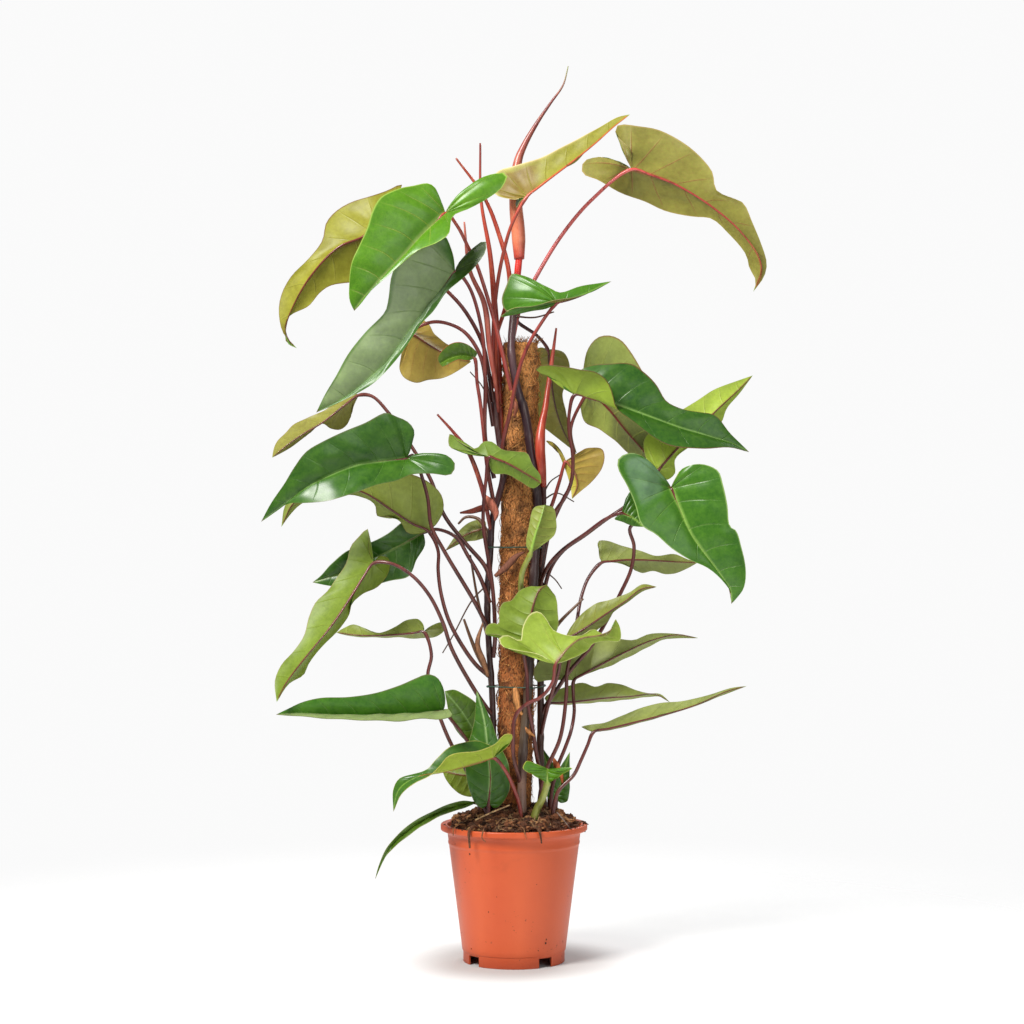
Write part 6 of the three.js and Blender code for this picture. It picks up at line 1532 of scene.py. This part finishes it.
# Old leaf, dying back tan and yellow on a pink stalk
leaf("leaf_35", "under",
     midrib=[(60, -12, 579), (70, -14, 565), (73, -14, 550), (67, -14, 535)],
     left=[(71, -9, 586), (86, -5, 594), (102, -3, 593), (105, -4, 584), (101, -6, 569), (89, -10, 554),
           (76, -13, 543)],
     right=[(50, -3, 590), (37, 8, 603), (44, 4, 601), (52, -5, 587), (59, -9, 570), (65, -9, 551)],
     petiole=[(31, 6, 490), (41, 0, 520), (46, -5, 534), (53, -9, 557)],
     top=(132, 116, 28), under=STRAW, veins=STRAW_VEIN, under_veins=STRAW_VEIN, under_rib=(150, 96, 62),
         rim=(140, 96, 60), stalk_from=(144, 64, 52), stalk_to=ROSE_STALK,
         zones=[((196, 188, 70), -1, "under", (-1, 2), (-1, 2))])

# Olive underside with a green strip on top
leaf("leaf_36", "under",
     midrib=[(41, 17, 296), (75, 17, 299), (110, 18, 303), (145, 20, 305), (165, 22, 307),
             (183, 24, 297)],
     left=[(36, 26, 303), (49, 31, 310), (68, 36, 317), (82, 37, 319), (96, 32, 315), (110, 35, 319),
           (124, 34, 318), (141, 27, 312), (157, 23, 308), (171, 25, 307)],
     right=[(54, 27, 294), (89, 32, 296), (124, 32, 299), (154, 29, 303), (171, 24, 304)],
     petiole=[(33, 12, 285)],
     top=LEAF_GREEN, under=PALE_SAGE, under_rib=(106, 44, 36))

# Long low leaf at the right, olive underside
leaf("leaf_37", "under",
     midrib=[(92, -14, 266), (114, -14, 271), (147, -12, 279), (186, -8, 289), (221, -3, 300),
             (247, -1, 312), (270, 0, 318)],
     left=[(87, -9, 269), (78, -1, 271), (89, -7, 274), (104, -8, 276), (125, -4, 284), (148, 0, 293),
           (169, 2, 298), (198, 1, 301), (227, 1, 308), (253, 1, 316)],
     right=[(113, -8, 268), (146, -6, 276), (178, -5, 285), (211, -1, 295), (239, 3, 306)],
     petiole=[(44, -22, 147), (44, -22, 168), (51, -20, 198), (69, -18, 217), (77, -16, 233),
              (85, -15, 251)],
     top=SHADE_GREEN, under=GREY_SAGE, under_veins=SAGE_VEIN, under_rib=(104, 42, 36))

# Young leaf on a thick lime stalk, green with bright yellow edges
leaf("leaf_38", "top", thick=2.0,
     midrib=[(38, -46, 211), (38, -50, 219), (38, -54, 228)],
     left=[(30, -52, 216), (18, -62, 224), (10, -68, 230), (14, -67, 238), (23, -62, 235),
           (31, -58, 230)],
     right=[(47, -53, 216), (57, -62, 224), (66, -69, 230), (54, -63, 230), (44, -56, 226)],
     petiole=[(22, -38, 149), (22, -38, 163), (25, -38, 177), (33, -42, 194)],
     top=YOUNG_GREEN, under=SPRING, rib=(176, 204, 90), under_rib=(160, 190, 80), rim=(216, 214, 84),
         stalk_from=LIME_STALK, stalk_to=LIME_STALK, stripe=(196, 212, 116))

# Small dark leaf in the soil at the right
leaf("leaf_39", "top",
     midrib=[(50, 8, 188), (55, 8, 208), (65, 8, 241)],
     left=dict(width=12, reach=5, tilt=10, lobe_tilt=10),
     right=dict(width=13, reach=5, tilt=10, lobe_tilt=10),
     petiole=[(48, 8, 143), (48, 8, 162)],
     top=LEAF_GREEN, under=DULL_OLIVE)

# Small pale leaf at the back left
leaf("leaf_40", "under",
     midrib=[(-35, 18, 501), (-57, 20, 493), (-81, 22, 474)],
     left=dict(width=12, reach=4, tilt=-20, lobe_tilt=-20),
     right=dict(width=13, reach=4, tilt=-20, lobe_tilt=-20),
     petiole=[(-29, 0, 492), (-30, 9, 498)],
     top=FRESH_GREEN, under=GREY_SAGE, under_rib=(140, 96, 60))

# Small dark leaf in the soil behind
leaf("leaf_41", "top",
     midrib=[(41, 24, 195), (40, 24, 220), (32, 24, 247)],
     left=dict(width=11, reach=5, tilt=10, lobe_tilt=10),
     right=dict(width=12, reach=5, tilt=10, lobe_tilt=10),
     petiole=[(41, 24, 141), (41, 24, 160)],
     top=SHADE_GREEN, under=DULL_OLIVE)

# TIES
# Two dark green plastic-coated wire ties hold the stems against the pole, twisted off at the back.
wire = Finish("coated wire")
coating = wire.mix(wire.noise(300, 3.0).step(0.4, 0.7) * 0.4, paint(28, 66, 48), paint(58, 96, 76))
wire.wear(base_color=coating, roughness=0.42, normal=wire.bump(wire.noise(900, 2.0), 0.0002))
SLACK, SLEEVE_SLACK = 0.75, 0.4
TAILS = [np.array([(1.5, 4, 2), (-1, 7, 5), (2, 9, 9)]), np.array([(-1.5, 4, 1), (1.5, 7, 4), (-3, 9, 7)])]
TIES = [("tie_upper", 479, 0.8, ["stem_left", "stem_front"]),
        ("tie_lower", 318, 0.8, ["stem_left", "stem_front", "stem_right"])]
for name, height, thick, held in TIES:
    centre = POLE_FOOT + (POLE_TOP - POLE_FOOT) * (height - POLE_FOOT[2]) / (POLE_TOP[2] - POLE_FOOT[2])
    circles = [(centre[0], centre[1], POLE_RADIUS + POLE_LUMP + SLEEVE_SLACK)]
    for stem in held:
        places, _ = curve_through(STEMS[stem]["path"], 40)
        near = places[np.argmin(np.abs(places[:, 2] - height))]
        circles.append((near[0], near[1], max(STEMS[stem]["radii"])))
    path = []
    for turn in np.linspace(0, 2 * math.pi, 73):
        way = np.array([math.cos(turn), math.sin(turn)])
        x, y, r = max(circles, key=lambda c: (c[0] - centre[0]) * way[0] + (c[1] - centre[1]) * way[1]
                      + c[2])
        out = r + thick + SLACK
        path.append((x + out * way[0], y + out * way[1], height + 0.5 * math.sin(3 * turn)))
    band = tube(path, [thick, thick], 12, 1.6)
    tail_start = np.array(path[18])
    tails = [tube([tail_start, *(tail_start + bends)], [thick, thick, thick * 0.9], 10, 1.2)
             for bends in TAILS]
    points, faces, _ = gathered([band, *tails])
    piece = put(name + "_wire", points, faces, [wire.material])
    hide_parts(name)

# STAGE
# A plain pale floor and soft studio light from the upper left and front. The floor fades out and
# glows a little away from the plant, so that no horizon shows.
bpy.ops.mesh.primitive_plane_add(size=12, location=(0, 0, 0))
floor = bpy.context.object
floor.name = "floor"
board = Finish("pale floor")
away = board.node("ShaderNodeVectorMath", {"operation": "LENGTH"}, {0: board.place()}).out("Value")
board.wear(base_color=board.mix(board.noise(6, 3.0), paint(196, 196, 195), paint(202, 202, 201)),
           roughness=0.9, specular_ior_level=0.1, emission_strength=0.5,
           emission_color=board.mix(away.step(0.07, 0.16), paint(0, 0, 0), paint(255, 255, 255)),
           alpha=away.step(0.25, 1.1, 1.0, 0.0))
floor.data.materials.append(board.material)

world = bpy.data.worlds.new("studio")
world.use_nodes = True
tree = world.node_tree
sky, seen, seen_mix, ray = (tree.nodes["Background"], tree.nodes.new("ShaderNodeBackground"),
                            tree.nodes.new("ShaderNodeMixShader"), tree.nodes.new("ShaderNodeLightPath"))
sky.inputs["Color"].default_value, sky.inputs["Strength"].default_value = (0.95, 0.97, 1.0, 1), 0.34
seen.inputs["Color"].default_value = (0.96, 0.96, 0.96, 1)
tree.links.new(ray.outputs["Is Camera Ray"], seen_mix.inputs["Fac"])
tree.links.new(sky.outputs[0], seen_mix.inputs[1])
tree.links.new(seen.outputs[0], seen_mix.inputs[2])
tree.links.new(seen_mix.outputs[0], tree.nodes["World Output"].inputs["Surface"])
bpy.context.scene.world = world
for name, place, size, power, colour in (
        ("window light", (-1.3, -1.5, 2.2), 0.85, 83, (1.0, 0.98, 0.95)),
        ("front fill", (1.3, -2.4, 0.9), 1.6, 14, (0.98, 0.99, 1.0)),
        ("back light", (0.6, 1.7, 1.9), 1.2, 26, (1.0, 1.0, 1.0))):
    lamp = bpy.data.lights.new(name, "AREA")
    lamp.size, lamp.energy, lamp.color = size, power, colour
    holder = bpy.data.objects.new(name, lamp)
    holder.location = place
    holder.rotation_mode = "QUATERNION"
    holder.rotation_quaternion = (Vector((0, 0, 0.5)) - Vector(place)).to_track_quat("-Z", "Y")
    bpy.context.scene.collection.objects.link(holder)
bpy.context.scene.view_settings.view_transform = "Standard"

bpy.context.view_layer.update()
